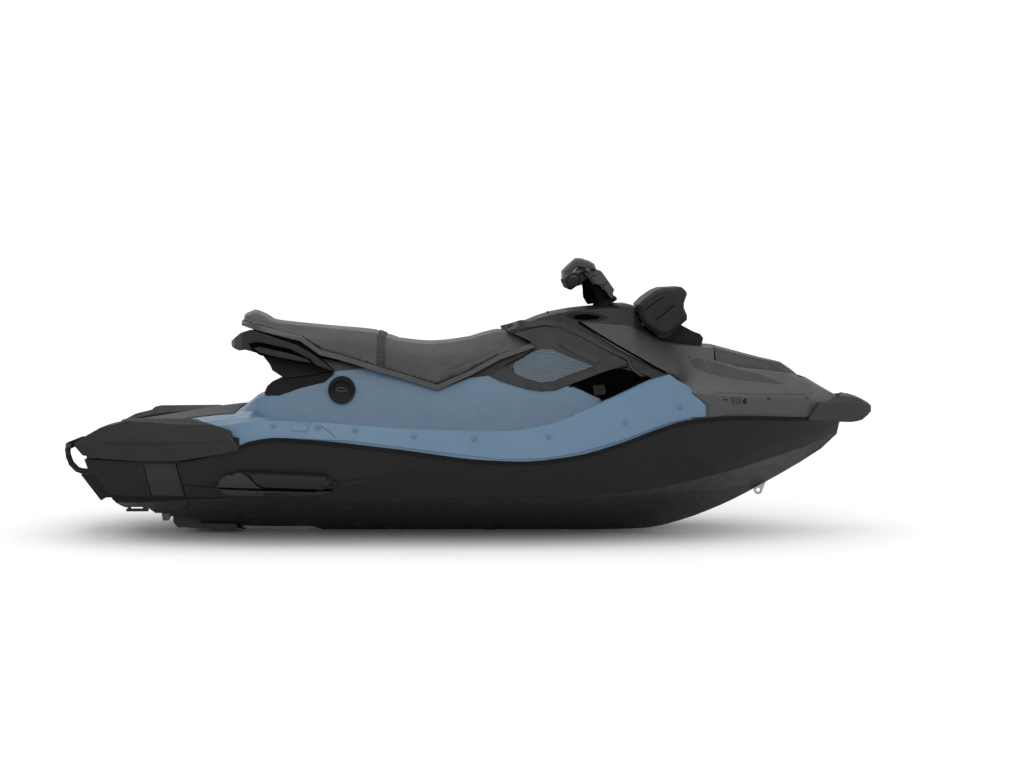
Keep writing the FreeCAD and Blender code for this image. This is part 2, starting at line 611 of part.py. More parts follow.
def make_venturi():
    """Nozzle behind the pump that narrows the stream, with lugs for the steering nozzle and the bucket."""
    fore = TRANSOM_X - 1.0 - PUMP_LENGTH
    spout = fore - VENTURI_LENGTH + VENTURI_SPOUT
    aft = fore - VENTURI_LENGTH
    outlet = OUTLET_R + OUTLET_WALL
    body = cone_x(PUMP_AXIS_Z, fore, PUMP_BORE_R + PUMP_WALL, spout, outlet)
    body = body.fuse(cylinder_x(PUMP_AXIS_Z, outlet, aft, spout))
    inner = cone_x(PUMP_AXIS_Z, fore, PUMP_BORE_R, spout, OUTLET_R)
    inner = inner.fuse(cylinder_x(PUMP_AXIS_Z, OUTLET_R, aft - 1, spout))
    plate = BUCKET_HALF_WIDTH - BUCKET_WALL
    low, high = BUCKET_PIVOT_Z - 16, BUCKET_PIVOT_Z + 16
    for side in (-1, 1):
        body = body.fuse(side_box(BUCKET_PIVOT_X - 16, fore - 40, plate - 24, plate - 6, low, high, side))
        body = body.fuse(side_box(fore - 60, fore - 40, 40, plate - 10, low, high, side))
        pin = cylinder_y(BUCKET_PIVOT_X, BUCKET_PIVOT_Z, BUCKET_PIN_R, plate - 20, BUCKET_HALF_WIDTH)
        body = body.fuse(pin if side > 0 else mirrored(pin))
    arm = NOZZLE_BALL_R + NOZZLE_WALL + 4
    for side in (-1, 1):
        z0, z1 = sorted((PUMP_AXIS_Z + side * arm, PUMP_AXIS_Z + side * (arm + 10)))
        body = body.fuse(box(NOZZLE_PIVOT_X - 12, fore - 30, -11, 11, z0, z1))
        z0, z1 = sorted((PUMP_AXIS_Z + side * 50, PUMP_AXIS_Z + side * (arm + 10)))
        body = body.fuse(box(fore - 50, fore - 30, -11, 11, z0, z1))
        z0, z1 = sorted((PUMP_AXIS_Z + side * (NOZZLE_BALL_R - 2), PUMP_AXIS_Z + side * (arm + 5)))
        body = body.fuse(Part.makeCylinder(NOZZLE_PIN_R, z1 - z0, V(NOZZLE_PIVOT_X, 0, z0)))
    return body.cut(inner)


def make_steering_nozzle():
    """Swivelling outlet that turns with the handlebar, round at its front so that it clears the spout."""
    centre = V(NOZZLE_PIVOT_X, 0, PUMP_AXIS_Z)
    aft = NOZZLE_PIVOT_X - NOZZLE_LENGTH
    waist = NOZZLE_PIVOT_X - NOZZLE_LENGTH / 2
    outer_r = NOZZLE_BALL_R + NOZZLE_WALL
    band = box(waist, NOZZLE_PIVOT_X + 3, -100, 100, PUMP_AXIS_Z - 100, PUMP_AXIS_Z + 100)
    ball = Part.makeSphere(outer_r, centre).common(band)
    waist_r = math.sqrt(outer_r ** 2 - (NOZZLE_LENGTH / 2) ** 2)
    body = ball.fuse(cone_x(PUMP_AXIS_Z, waist, waist_r, aft, OUTLET_R + NOZZLE_WALL))
    bore_r = math.sqrt(NOZZLE_BALL_R ** 2 - (NOZZLE_LENGTH / 2) ** 2)
    body = body.cut(Part.makeSphere(NOZZLE_BALL_R, centre).common(band))
    body = body.cut(cone_x(PUMP_AXIS_Z, waist, bore_r, aft, OUTLET_R))
    pin_r = NOZZLE_PIN_R + PIN_CLEARANCE
    return body.cut(Part.makeCylinder(pin_r, 300, V(NOZZLE_PIVOT_X, 0, PUMP_AXIS_Z - 150)))


def make_reverse_bucket():
    """Bucket that drops behind the nozzle to turn the stream forwards."""
    back = BUCKET_BACK + offset_line(BUCKET_BACK, BUCKET_WALL)[::-1]
    bucket = prism_y(back, -BUCKET_HALF_WIDTH, BUCKET_HALF_WIDTH)
    cheek = prism_y(BUCKET_SIDE, BUCKET_HALF_WIDTH - BUCKET_WALL, BUCKET_HALF_WIDTH)
    bucket = bucket.fuse(cheek).fuse(mirrored(cheek))
    return bucket.cut(cylinder_y(BUCKET_PIVOT_X, BUCKET_PIVOT_Z, BUCKET_PIN_R + PIN_CLEARANCE, -200, 200))


def make_engine():
    """Engine as one plain block, on two bearers that follow the hull bottom."""
    block = box(ENGINE_AFT, ENGINE_FORE, -ENGINE_HALF, ENGINE_HALF, 110, ENGINE_TOP)
    for side in (-1, 1):
        block = block.fuse(side_box(ENGINE_AFT + 20, ENGINE_FORE - 20, 105, 155, 10, 115, side))
    return block.common(hull_cavity(HULL_WALL + SEAT_GAP))


# Boarding step


def make_boarding_step():
    """Folding step: a loop of bar on two pins in the stern wings."""
    half = STEP_HALF_WIDTH
    arm = tube([(x, half, z) for x, z in STEP_ARM], STEP_BAR_R)
    arm = arm.fuse(cylinder_y(STEP_PIVOT_X, STEP_PIVOT_Z, STEP_EYE_R, half - 12, half + 12))
    arm = arm.fuse(cylinder_y(STEP_PIVOT_X, STEP_PIVOT_Z, STEP_PIN_R, half, TUNNEL_HALF_WIDTH + 20))
    step = prism_y(STEP_TREAD, -half - STEP_BAR_R, half + STEP_BAR_R)
    return step.fuse(arm).fuse(mirrored(arm))


# Deck and body panels


@functools.lru_cache(maxsize=None)
def upper_skin(inner, outer):
    """A shell that follows the upper body between two distances from its visible face."""
    return loft([(x, skin(both_sides(corners), inner, outer)) for x, corners in stations(UPPER_LINES)])


def solid_under(table, grow, base):
    """Everything under a face given by stations, moved outwards by grow, down to a base height."""
    sections = []
    for x, corners in stations(table):
        line = offset_line(both_sides(corners), grow) if grow else both_sides(corners)
        sections.append((x, [(line[0][0], base)] + line + [(line[-1][0], base)]))
    return loft(sections)


@functools.lru_cache(maxsize=None)
def upper_solid(grow):
    """Everything under the upper body's face."""
    return solid_under(UPPER_LINES, grow, 100.0)


@functools.lru_cache(maxsize=None)
def bow_solid(grow):
    """Everything under the bow cowl's face."""
    return solid_under(BOW_LINES, grow, 200.0)


@functools.lru_cache(maxsize=None)
def over_console(gap):
    """The space of the console's parts: over the parting line with the deck, within its plan view."""
    plan = [(x, y + gap) for x, y in CONSOLE_PLAN]
    return above(DECK_TOP, -gap).common(prism_z(both_halves(plan), 0, 1500))


def over_hull_core():
    """The inside of the hull's rim seen from above, where the footwells drop below the sheer."""
    rim = [(TRANSOM_X + 18, 470), (-900, 500), (400, 500), (560, 440), (720, 380), (800, 340)]
    return prism_z(both_halves(rim), -500, 1000)


def make_deck():
    """Upper moulding: stern platform, two footwells and the pedestal that the seat and console close."""
    deck = trimmed(upper_skin(-DECK_WALL, 0.0), UPPER_LINES[0][0], BOW_LINES[0][0] - SEAT_GAP)
    pedestal = prism_z([(-900, -300), (-100, -300), (-100, 300), (-900, 300)], 0, 1500)
    deck = deck.cut(above(DECK_TOP, -SEAT_GAP).common(pedestal))
    deck = deck.cut(over_console(SEAT_GAP))
    return deck.cut(sheer_slab(None, SEAT_GAP).cut(over_hull_core()))


@functools.lru_cache(maxsize=None)
def tail_solid(grow):
    """Everything under the face of the rear cover."""
    return solid_under(TAIL_LINES, grow, 500.0)


def make_tail_cowl():
    """Black cover over the back of the pedestal, between the deck and the seat."""
    front = [(-500, 541), (-500, 800)]
    cowl = tail_solid(0.0).common(prism_y(TAIL_REAR + front, -400, 400))
    inside = [(x + COWL_WALL, z) for x, z in TAIL_REAR] + [(-480, 541), (-480, 800)]
    cowl = cowl.cut(tail_solid(-COWL_WALL).common(prism_y(inside, -400, 400)))
    return cowl.common(above(DECK_TOP, 0.0)).common(below(SEAT_UNDERSIDE, SEAT_GAP))


def ahead_of_seat():
    """The space under and ahead of the seat."""
    line = [(x, z - SEAT_GAP) for x, z in SEAT_UNDERSIDE[-4:]] + [(x, z + 1.0) for x, z in SEAT_NOSE]
    return prism_y(line + [(70, 1500), (1000, 1500), (1000, 0), (line[0][0], 0)], -700, 700)


def make_console():
    """Console between the seat and the bow, with the glovebox and the steering socket."""
    console = upper_skin(-PANEL_WALL, 0.0).common(over_console(0.0)).common(ahead_of_seat())
    block = prism_y([(94, 793), (180, 755), (212, 734), (262, 734), (262, 900), (94, 900)],
                    -GLOVE_HALF - PANEL_WALL, GLOVE_HALF + PANEL_WALL)
    console = console.fuse(block.common(upper_solid(-1.0)))
    edge = GLOVE_HALF + LID_EDGE
    mouth = box(GLOVE_REAR - LID_EDGE, GLOVE_FORE + LID_EDGE, -edge, edge, 700, 1000)
    console = console.cut(mouth.cut(upper_solid(-PANEL_WALL)))
    cavity = [(120, 788), (182, 761), (214, 740), (240, 740), (240, 1000), (120, 1000)]
    console = console.cut(prism_y(cavity, -GLOVE_HALF + 8, GLOVE_HALF - 8))
    trough = GLOVE_BARREL_HALF + LID_EDGE
    console = console.cut(cylinder_y(GLOVE_FORE, GLOVE_HINGE_Z, GLOVE_BARREL_R + LID_EDGE, -trough, trough))
    socket = Part.makeCylinder(COLUMN_R + 14, 90, V(0, 0, -60))
    console = console.fuse(steered(socket).common(upper_solid(-1.0)))
    bore = Part.makeCylinder(COLUMN_R + PIN_CLEARANCE, 400, V(0, 0, -200))
    return console.cut(steered(bore))


def make_glovebox_lid():
    """Lid of the glovebox, let into the console and hinged at its front edge."""
    lid = upper_skin(-TRIM_THICKNESS, 0.6)
    lid = lid.common(box(GLOVE_REAR, GLOVE_FORE, -GLOVE_HALF, GLOVE_HALF, 700, 1000))
    barrel = cylinder_y(GLOVE_FORE, GLOVE_HINGE_Z, GLOVE_BARREL_R, -GLOVE_BARREL_HALF, GLOVE_BARREL_HALF)
    return lid.fuse(barrel)


def make_side_panel(side):
    """Blue cover of the gunwale."""
    panel = upper_skin(SEAT_GAP, TRIM_THICKNESS).common(prism_y(PANEL_SIDE, 300, 700))
    panel = panel.common(prism_z([(-700, 700)] + PANEL_INNER + [(850, 700)], 0, 1000))
    panel = panel.cut(bow_solid(SEAT_GAP))
    return panel if side > 0 else mirrored(panel)


def make_knee_panel(side):
    """Dark pad on the flank of the console, with a sunk field and a slot."""
    panel = upper_skin(SEAT_GAP, PANEL_WALL).common(prism_y(KNEE_SIDE, 80, 320))
    sunk = upper_skin(PANEL_WALL - 2.5, PANEL_WALL + 4)
    panel = panel.cut(sunk.common(prism_y(KNEE_INSET, 80, 320)))
    panel = panel.cut(sunk.common(prism_y(KNEE_SLOT, 80, 320)))
    panel = panel.common(ahead_of_seat())
    return panel if side > 0 else mirrored(panel)


def make_bow_cowl():
    """Grey bow moulding round the storage opening, with two arms back along the console."""
    cowl = bow_solid(0.0).cut(trimmed(bow_solid(-COWL_WALL), BOW_LINES[0][0] - 1, COWL_FORE - 15))
    cowl = cowl.common(sheer_slab(SEAT_GAP, None))
    nose = CONSOLE_PLAN[-1][1] + SEAT_GAP
    cowl = cowl.cut(box(700, NOSE_X + SEAT_GAP, -nose, nose, 300, 1000))
    cowl = cowl.cut(prism_z(BIN_PLAN, 300, 1000))
    half = LID_BARREL_HALF + LID_EDGE
    cowl = cowl.cut(cylinder_y(LID_HINGE_X, LID_HINGE_Z, LID_BARREL_R + LID_EDGE, -half, half))
    cowl = cowl.cut(box(LID_HINGE_X - 20, LID_HINGE_X, -half, half, LID_HINGE_Z - LID_BARREL_R, 700))
    arm = upper_skin(SEAT_GAP, COWL_WALL).common(prism_y(ARM_SIDE, 60, 260))
    return cowl.fuse(arm).fuse(mirrored(arm))


def make_storage_bin():
    """Bow storage bin, hung in the opening of the cowl."""
    rim = offset_line(BIN_PLAN, -0.5, True)
    inner = offset_line(BIN_PLAN, -0.5 - BIN_WALL, True)
    block = prism_z(rim, BIN_FLOOR - BIN_WALL, 900).cut(prism_z(inner, BIN_FLOOR, 901))
    return block.common(bow_solid(-0.5))


def make_storage_lid():
    """Hood over the bow storage, hinged at its front end."""
    sections = stations(LID_LINES)
    shell = loft([(x, both_sides(corners)) for x, corners in sections])
    core = [(x, offset_line(both_sides(corners), -PANEL_WALL)) for x, corners in sections]
    core[0] = (core[0][0] + PANEL_WALL, core[0][1])
    core[-1] = (core[-1][0] - PANEL_WALL, core[-1][1])
    lid = shell.cut(loft(core)).cut(bow_solid(SEAT_GAP))
    tab = box(LID_HINGE_X - 18, LID_HINGE_X, -LID_BARREL_HALF, LID_BARREL_HALF, LID_HINGE_Z - 3,
              LID_HINGE_Z + LID_BARREL_R)
    lid = lid.fuse(tab)
    return lid.fuse(cylinder_y(LID_HINGE_X, LID_HINGE_Z, LID_BARREL_R, -LID_BARREL_HALF, LID_BARREL_HALF))


def make_bow_bumper():
    """Grey bumper round the stem."""
    bumper = loft([(x, both_sides(corners)) for x, corners in stations(BUMPER_LINES, 45.0)])
    bumper = bumper.common(prism_y(BUMPER_SIDE, -300, 300))
    return bumper.cut(bow_solid(SEAT_GAP)).cut(hull_body(SEAT_GAP + RAIL_DEPTH))


def make_stern_bumper(side):
    """Soft corner of the stern platform."""
    block = loft([(x, corners) for x, *corners in STERN_BUMPER_LINES])
    block = block.common(prism_y(STERN_BUMPER_SIDE, 200, 700)).cut(upper_solid(SEAT_GAP))
    block = block.cut(hull_body(SEAT_GAP).common(sheer_slab(None, SEAT_GAP)))
    return block if side > 0 else mirrored(block)


def make_platform_mat():
    """Textured mat on the stern platform."""
    mat = upper_skin(SEAT_GAP, TRIM_THICKNESS)
    edge = [(-1490, 270), (-1330, 300), (-1150, 322), (-945, 340)]
    return mat.common(prism_z(both_halves(edge), 300, 600))


def make_footwell_mat(side):
    """Textured mat in a footwell."""
    mat = upper_skin(SEAT_GAP, TRIM_THICKNESS)
    mat = mat.common(prism_z([(-690, 262), (-690, 438), (300, 438), (560, 380), (560, 270)], 100, 420))
    return mat if side > 0 else mirrored(mat)


# Seat


@functools.lru_cache(maxsize=None)
def seat_solid():
    """The seat with its base, cut off at the console."""
    body = loft([(x, both_sides(corners)) for x, corners in stations(SEAT_LINES, 50.0)])
    return body.cut(prism_y(SEAT_NOSE + [(70, 1000), (400, 1000), (400, SEAT_NOSE[0][1])], -400, 400))


def make_seat_cushion():
    """Padded seat for three, in one piece."""
    return seat_solid().common(above(SEAT_UNDERSIDE, SEAT_BASE_WALL + SEAT_GAP))


def make_seat_base():
    """Hard base under the cushion, seated on the rim of the pedestal."""
    return seat_solid().common(above(SEAT_UNDERSIDE, 0.0)).common(below(SEAT_UNDERSIDE, -SEAT_BASE_WALL))


def make_grab_handle():
    """Handle round the back of the seat, its arms along the rear cover."""
    half = prism_z(HANDLE_OUTER + HANDLE_INNER[::-1], 600, 850)
    handle = half.fuse(mirrored(half)).common(prism_y(HANDLE_SIDE, -300, 300))
    handle = handle.cut(tail_solid(SEAT_GAP)).cut(above(SEAT_UNDERSIDE, -SEAT_GAP))
    groove = prism_z(HANDLE_OUTER + offset_line(HANDLE_OUTER, -TRIM_THICKNESS)[::-1], 600, 850)
    groove = groove.common(prism_y(HANDLE_SLOT, 0, 300))
    return handle.cut(groove).cut(mirrored(groove))


def make_fuel_cap():
    """Round fuel cap on the starboard flank of the pedestal."""
    cap = cylinder_y(CAP_X, CAP_Z, CAP_R, -260, -150)
    return cap.common(upper_solid(COLLAR)).cut(upper_solid(SEAT_GAP))


# Steering


def steered(shape):
    """A shape drawn about the steering axis, put in its place."""
    shape = shape.copy()
    shape.rotate(V(0, 0, 0), V(0, 1, 0), -STEER_LEAN)
    shape.translate(V(STEER_BASE_X, 0, STEER_BASE_Z))
    return shape


def tube(points, radius):
    """A round bar through points."""
    bar = None
    for a, b in zip(points, points[1:]):
        run = V(*b) - V(*a)
        rod = Part.makeCylinder(radius, run.Length, V(*a), run)
        bar = rod if bar is None else bar.fuse(rod).fuse(Part.makeSphere(radius, V(*a)))
    return bar


def column(gap):
    """The steering column with the block that carries the handlebar, grown by a gap."""
    post = Part.makeCylinder(COLUMN_R + gap, 200 + gap, V(0, 0, -70))
    block = Part.makeBox(46 + 2 * gap, 90 + 2 * gap, 44 + 2 * gap, V(-34 - gap, -45 - gap, 118 - gap))
    return post.fuse(block)


def make_steering_column():
    """Column in the console's socket, with the block that carries the handlebar."""
    return steered(column(0.0).cut(tube(BAR_PATH, BAR_R + SEAT_GAP)))


def make_handlebar():
    """Bent handlebar."""
    return steered(tube(BAR_PATH, BAR_R))


def faceted(outline, centre, sizes):
    """A solid through copies of a side view outline, given as place across and scale about a centre."""
    wires = []
    for y, scale in sizes:
        points = [(centre[0] + (x - centre[0]) * scale, y, centre[1] + (z - centre[1]) * scale)
                  for x, z in outline]
        wires.append(closed_wire(points))
    return Part.makeLoft(wires, True, True)


def make_bar_cover():
    """Faceted cover over the middle of the handlebar."""
    steps = ((-112, 0.55), (-72, 0.95), (-40, 1.0), (40, 1.0), (72, 0.95), (112, 0.55))
    cover = faceted(COVER_SIDE, (-10, 160), steps)
    return steered(cover.cut(column(SEAT_GAP)).cut(tube(BAR_PATH, BAR_R + SEAT_GAP)))


def make_grip(side):
    """Rubber grip with its flange."""
    end = V(*BAR_PATH[5])
    run = end - V(*BAR_PATH[4])
    start = end - run * (GRIP_LENGTH / run.Length)
    grip = Part.makeCylinder(GRIP_R, GRIP_LENGTH + 4, start, run)
    grip = grip.fuse(Part.makeCylinder(GRIP_R + 6, 5, start, run))
    grip = steered(grip.cut(tube(BAR_PATH, BAR_R + PIN_CLEARANCE)))
    return grip if side > 0 else mirrored(grip)


def make_lever(side):
    """Finger lever in front of a grip, on its clamp."""
    clamp = Part.makeCylinder(GRIP_R + 4, 34, V(-46, BAR_BEND_Y - 42, 152), V(-0.03, 1, -0.02))
    lever = tube([(-30, BAR_BEND_Y - 24, 152), (10, BAR_BEND_Y - 8, 152),
    (14, BAR_HALF_WIDTH - 65, 148), (4, BAR_HALF_WIDTH - 23, 146)], LEVER_R)
    part = steered(clamp.fuse(lever).cut(tube(BAR_PATH, BAR_R + PIN_CLEARANCE)))
    return part if side > 0 else mirrored(part)


def make_steering_boot():
    """Rubber bellows round the column, on the console."""
    folds = [(COLUMN_R + 5, -70), (BOOT_R, -70), (BOOT_R, 0)]
    for i in range(5):
        r = BOOT_R - 2 * i
        folds += [(r - 5, 6 + 16 * i), (r, 14 + 16 * i)]
    folds += [(BOOT_R - 14, 88), (COLUMN_R + 5, 88)]
    profile = Part.Face(closed_wire([(r, 0, z) for r, z in folds]))
    return steered(profile.revolve(V(0, 0, 0), V(0, 0, 1), 360)).cut(upper_solid(SEAT_GAP))


def make_speaker():
    """Portable speaker box in front of the handlebar."""
    body = faceted(SPEAKER_SIDE, (700, 870), ((-SPEAKER_HALF, 0.86), (-SPEAKER_HALF + 22, 1.0),
                                              (SPEAKER_HALF - 22, 1.0), (SPEAKER_HALF, 0.86)))
    return body.cut(upper_solid(SPEAKER_LIFT))


def make_speaker_mount():
    """Bracket that carries the speaker on the console."""
    bracket = prism_y(BRACKET_SIDE, -MOUNT_HALF, MOUNT_HALF).cut(upper_solid(SEAT_GAP))
    return bracket.cut(prism_y(offset_line(SPEAKER_SIDE, SEAT_GAP, True), -300, 300))


PIECES = {
    "hull": make_hull,
    "rub_rail": make_rub_rail,
    "sponson_left": lambda: make_sponson(1),
    "sponson_right": lambda: make_sponson(-1),
    "ride_plate": make_ride_plate,
    "intake_grate": make_intake_grate,
    "bow_eye": make_bow_eye,
    "pump_housing": make_pump_housing,
    "impeller": make_impeller,
    "venturi": make_venturi,
    "steering_nozzle": make_steering_nozzle,
    "reverse_bucket": make_reverse_bucket,
    "engine": make_engine,
    "boarding_step": make_boarding_step,
    "deck": make_deck,
    "tail_cowl": make_tail_cowl,
    "console": make_console,
    "glovebox_lid": make_glovebox_lid,
    "side_panel_left": lambda: make_side_panel(1),
    "side_panel_right": lambda: make_side_panel(-1),
    "knee_panel_left": lambda: make_knee_panel(1),
    "knee_panel_right": lambda: make_knee_panel(-1),
    "bow_cowl": make_bow_cowl,
    "storage_bin": make_storage_bin,
    "storage_lid": make_storage_lid,
    "bow_bumper": make_bow_bumper,
    "stern_bumper_left": lambda: make_stern_bumper(1),
    "stern_bumper_right": lambda: make_stern_bumper(-1),
    "platform_mat": make_platform_mat,
    "footwell_mat_left": lambda: make_footwell_mat(1),
    "footwell_mat_right": lambda: make_footwell_mat(-1),
    "seat_cushion": make_seat_cushion,
    "seat_base": make_seat_base,
    "grab_handle": make_grab_handle,
    "fuel_cap": make_fuel_cap,
    "steering_column": make_steering_column,
    "handlebar": make_handlebar,
    "bar_cover": make_bar_cover,
    "grip_left": lambda: make_grip(1),
    "grip_right": lambda: make_grip(-1),
    "brake_lever": lambda: make_lever(1),
    "throttle_lever": lambda: make_lever(-1),
    "steering_boot": make_steering_boot,
    "speaker": make_speaker,
    "speaker_mount": make_speaker_mount,
}


def main():
    os.makedirs("parts", exist_ok=True)
    for name, make in PIECES.items():
        shape = make()
        shape.translate(V(0, 0, -DRAFT))
        shape.exportStep("parts/" + name + ".step")


main()
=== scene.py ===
import json
import math

import bmesh
import bpy
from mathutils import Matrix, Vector
from mathutils.bvhtree import BVHTree
from mathutils.geometry import interpolate_bezier


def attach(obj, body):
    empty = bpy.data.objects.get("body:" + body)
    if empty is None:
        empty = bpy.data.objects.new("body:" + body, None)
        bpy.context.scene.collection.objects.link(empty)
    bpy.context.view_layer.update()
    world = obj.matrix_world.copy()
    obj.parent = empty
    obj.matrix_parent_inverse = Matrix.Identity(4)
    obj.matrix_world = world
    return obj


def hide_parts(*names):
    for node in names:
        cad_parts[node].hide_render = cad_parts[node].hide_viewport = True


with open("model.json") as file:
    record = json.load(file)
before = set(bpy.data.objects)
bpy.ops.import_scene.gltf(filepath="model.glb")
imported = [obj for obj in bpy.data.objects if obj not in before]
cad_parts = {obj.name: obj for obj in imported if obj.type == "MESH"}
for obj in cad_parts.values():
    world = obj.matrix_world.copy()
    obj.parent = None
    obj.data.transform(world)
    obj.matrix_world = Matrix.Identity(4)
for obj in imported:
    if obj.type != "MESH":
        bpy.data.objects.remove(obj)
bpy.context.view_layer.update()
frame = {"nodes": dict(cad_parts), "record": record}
nodes = frame["nodes"]

# Lengths of pieces and places on the craft are in millimetres, with heights above the keel's lowest line,
# which lies DRAFT below the origin of the craft's frame. Lengths in materials and in the seat's cover are in
# metres, and its places are in the craft's frame.
DRAFT = 190.0
MM = 0.001
BOTH = (-1, 1)


def at(x, y, z):
    """A point given in millimetres over the keel line, as a place in the craft's frame in metres."""
    return Vector((x * MM, y * MM, (z - DRAFT) * MM))


# Camera, as measured in the photograph

SENSOR = 36.0
LENS_PIXELS = 2310.0
PICTURE_PIXELS = 1024.0
DISTANCE = 9.1
PITCH = math.asin(0.0512)
TARGET = (110.5, 0, 575)


def make_camera():
    """A long lens from the starboard side, a little above the craft's middle."""
    data = bpy.data.cameras.new("camera")
    data.lens = LENS_PIXELS / PICTURE_PIXELS * SENSOR
    data.sensor_width = SENSOR
    camera = bpy.data.objects.new("camera", data)
    bpy.context.scene.collection.objects.link(camera)
    camera.location = at(*TARGET) + Vector((0, -DISTANCE * math.cos(PITCH), DISTANCE * math.sin(PITCH)))
    camera.rotation_euler = (math.pi / 2 - PITCH, 0, 0)
    bpy.context.scene.camera = camera


make_camera()

# Materials


class Graph:
    """A short way to write a material's nodes. Its patterns lie in object coordinates."""

    def __init__(self, name):
        self.mat = bpy.data.materials.new(name)
        self.mat.use_nodes = True
        self.tree = self.mat.node_tree
        self.shader = self.tree.nodes["Principled BSDF"]
        self.coords = self.tree.nodes.new("ShaderNodeTexCoord")

    def node(self, kind, **values):
        """A new node, with values for its sockets or its settings."""
        made = self.tree.nodes.new(kind)
        for key, value in values.items():
            if key in made.inputs:
                made.inputs[key].default_value = value
            else:
                setattr(made, key, value)
        return made

    def link(self, a, b):
        self.tree.links.new(a, b)

    def feed(self, socket, value):
        """Give a socket a number, a colour or a link from another node."""
        if isinstance(value, (int, float)):
            socket.default_value = value
        elif isinstance(value, tuple):
            socket.default_value = (*value, 1)
        else:
            self.link(value, socket)

    def surface(self, color, rough, specular):
        """Feed the shader's main inputs."""
        self.feed(self.shader.inputs["Base Color"], color)
        self.feed(self.shader.inputs["Roughness"], rough)
        self.feed(self.shader.inputs["Specular IOR Level"], specular)

    def noise(self, scale, detail=3.0):
        made = self.node("ShaderNodeTexNoise", Scale=scale, Detail=detail)
        self.link(self.coords.outputs["Object"], made.inputs["Vector"])
        return made.outputs["Fac"]

    def cells(self, scale):
        made = self.node("ShaderNodeTexVoronoi", Scale=scale)
        self.link(self.coords.outputs["Object"], made.inputs["Vector"])
        return made.outputs["Distance"]

    def stripes(self, scale, turn=None, axis="X"):
        """Bands across an axis, after a turn in degrees about each axis."""
        source = self.coords.outputs["Object"]
        if turn:
            mapping = self.node("ShaderNodeMapping", Rotation=tuple(math.radians(a) for a in turn))
            self.link(source, mapping.inputs["Vector"])
            source = mapping.outputs["Vector"]
        made = self.node("ShaderNodeTexWave", Scale=scale, Distortion=0.0, bands_direction=axis)
        self.link(source, made.inputs["Vector"])
        return made.outputs["Fac"]

    def axis(self, name):
        """One object coordinate in metres."""
        made = self.node("ShaderNodeSeparateXYZ")
        self.link(self.coords.outputs["Object"], made.inputs["Vector"])
        return made.outputs[name]

    def math(self, kind, a, b=0.0):
        made = self.node("ShaderNodeMath", operation=kind)
        self.feed(made.inputs[0], a)
        self.feed(made.inputs[1], b)
        return made.outputs["Value"]

    def ramp(self, source, low, high, start=0.3, stop=0.7):
        """Greys or colours from low to high, as the source goes from start to stop."""
        made = self.node("ShaderNodeValToRGB")
        for element, position, value in zip(made.color_ramp.elements, (start, stop), (low, high)):
            element.position = position
            element.color = (*value, 1) if isinstance(value, tuple) else (value, value, value, 1)
        self.link(source, made.inputs["Fac"])
        return made.outputs["Color"]

    def mix(self, fac, a, b):
        """Colour a where fac is 0 and b where it is 1."""
        made = self.node("ShaderNodeMix", data_type="RGBA")
        for index, value in ((0, fac), (6, a), (7, b)):
            self.feed(made.inputs[index], value)
        return made.outputs[2]

    def bump(self, source, distance, strength=1.0):
        """Relief as deep as the distance, on top of any relief made before."""
        made = self.node("ShaderNodeBump", Strength=strength, Distance=distance)
        self.link(source, made.inputs["Height"])
        earlier = self.shader.inputs["Normal"].links
        if earlier:
            self.link(earlier[0].from_socket, made.inputs["Normal"])
        self.link(made.outputs["Normal"], self.shader.inputs["Normal"])

    def rounded(self, radius):
        """Soft edges in the shading, and a mask that is 0 on plain surfaces and rises at the edges."""
        bevel = self.node("ShaderNodeBevel", samples=4, Radius=radius)
        self.link(bevel.outputs["Normal"], self.shader.inputs["Normal"])
        plain = self.node("ShaderNodeNewGeometry")
        dot = self.node("ShaderNodeVectorMath", operation="DOT_PRODUCT")
        self.link(bevel.outputs["Normal"], dot.inputs[0])
        self.link(plain.outputs["Normal"], dot.inputs[1])
        return self.math("SUBTRACT", 1.0, dot.outputs["Value"])


ROUGH_SPREAD = 0.12
WEAR_GAIN = 4.0
WORN_TONE = 2.6


def shade(color, k):
    """The colour k times as bright."""
    return tuple(min(1.0, c * k) for c in color)


def mottled(g, color, scale, detail, spread):
    """The colour in patches, up to the spread darker or brighter."""
    return g.ramp(g.noise(scale, detail), shade(color, 1 - spread), shade(color, 1 + spread))


def plastic(name, color, rough=0.4, grain=0.0, grain_scale=900.0, spread=0.06, metallic=0.0, specular=0.5,
            edge=0.0025, wear=0.35, zones=()):
    """Moulded or coated surface: mottled colour, patchy roughness, fine grain, soft edges with a little wear.

    A zone is (tests, colour): the surface has that colour where each test's (axis, low, high) holds. The
    grain is the height of its relief, and the edge the radius of the soft edges.
    """
    g = Graph(name)
    base = mottled(g, color, 9.0, 4.0, spread)
    for tests, other in zones:
        inside = 1.0
        for axis, low, high in tests:
            above = g.math("GREATER_THAN", g.axis(axis), low)
            below = g.math("LESS_THAN", g.axis(axis), high)
            inside = g.math("MULTIPLY", inside, g.math("MULTIPLY", above, below))
        base = g.mix(inside, base, other)
    if edge:
        worn = g.math("MULTIPLY", g.rounded(edge), g.ramp(g.noise(40.0, 5.0), 0.4, 1.0))
        worn = g.math("MULTIPLY", g.math("MINIMUM", g.math("MULTIPLY", worn, WEAR_GAIN), 1.0), wear)
        base = g.mix(worn, base, shade(color, WORN_TONE))
    patches = g.ramp(g.noise(26.0, 5.0), rough * (1 - ROUGH_SPREAD), min(1.0, rough * (1 + ROUGH_SPREAD)))
    g.surface(base, patches, specular)
    g.feed(g.shader.inputs["Metallic"], metallic)
    if grain:
        g.bump(g.noise(grain_scale, 2.0), grain)
    return g.mat


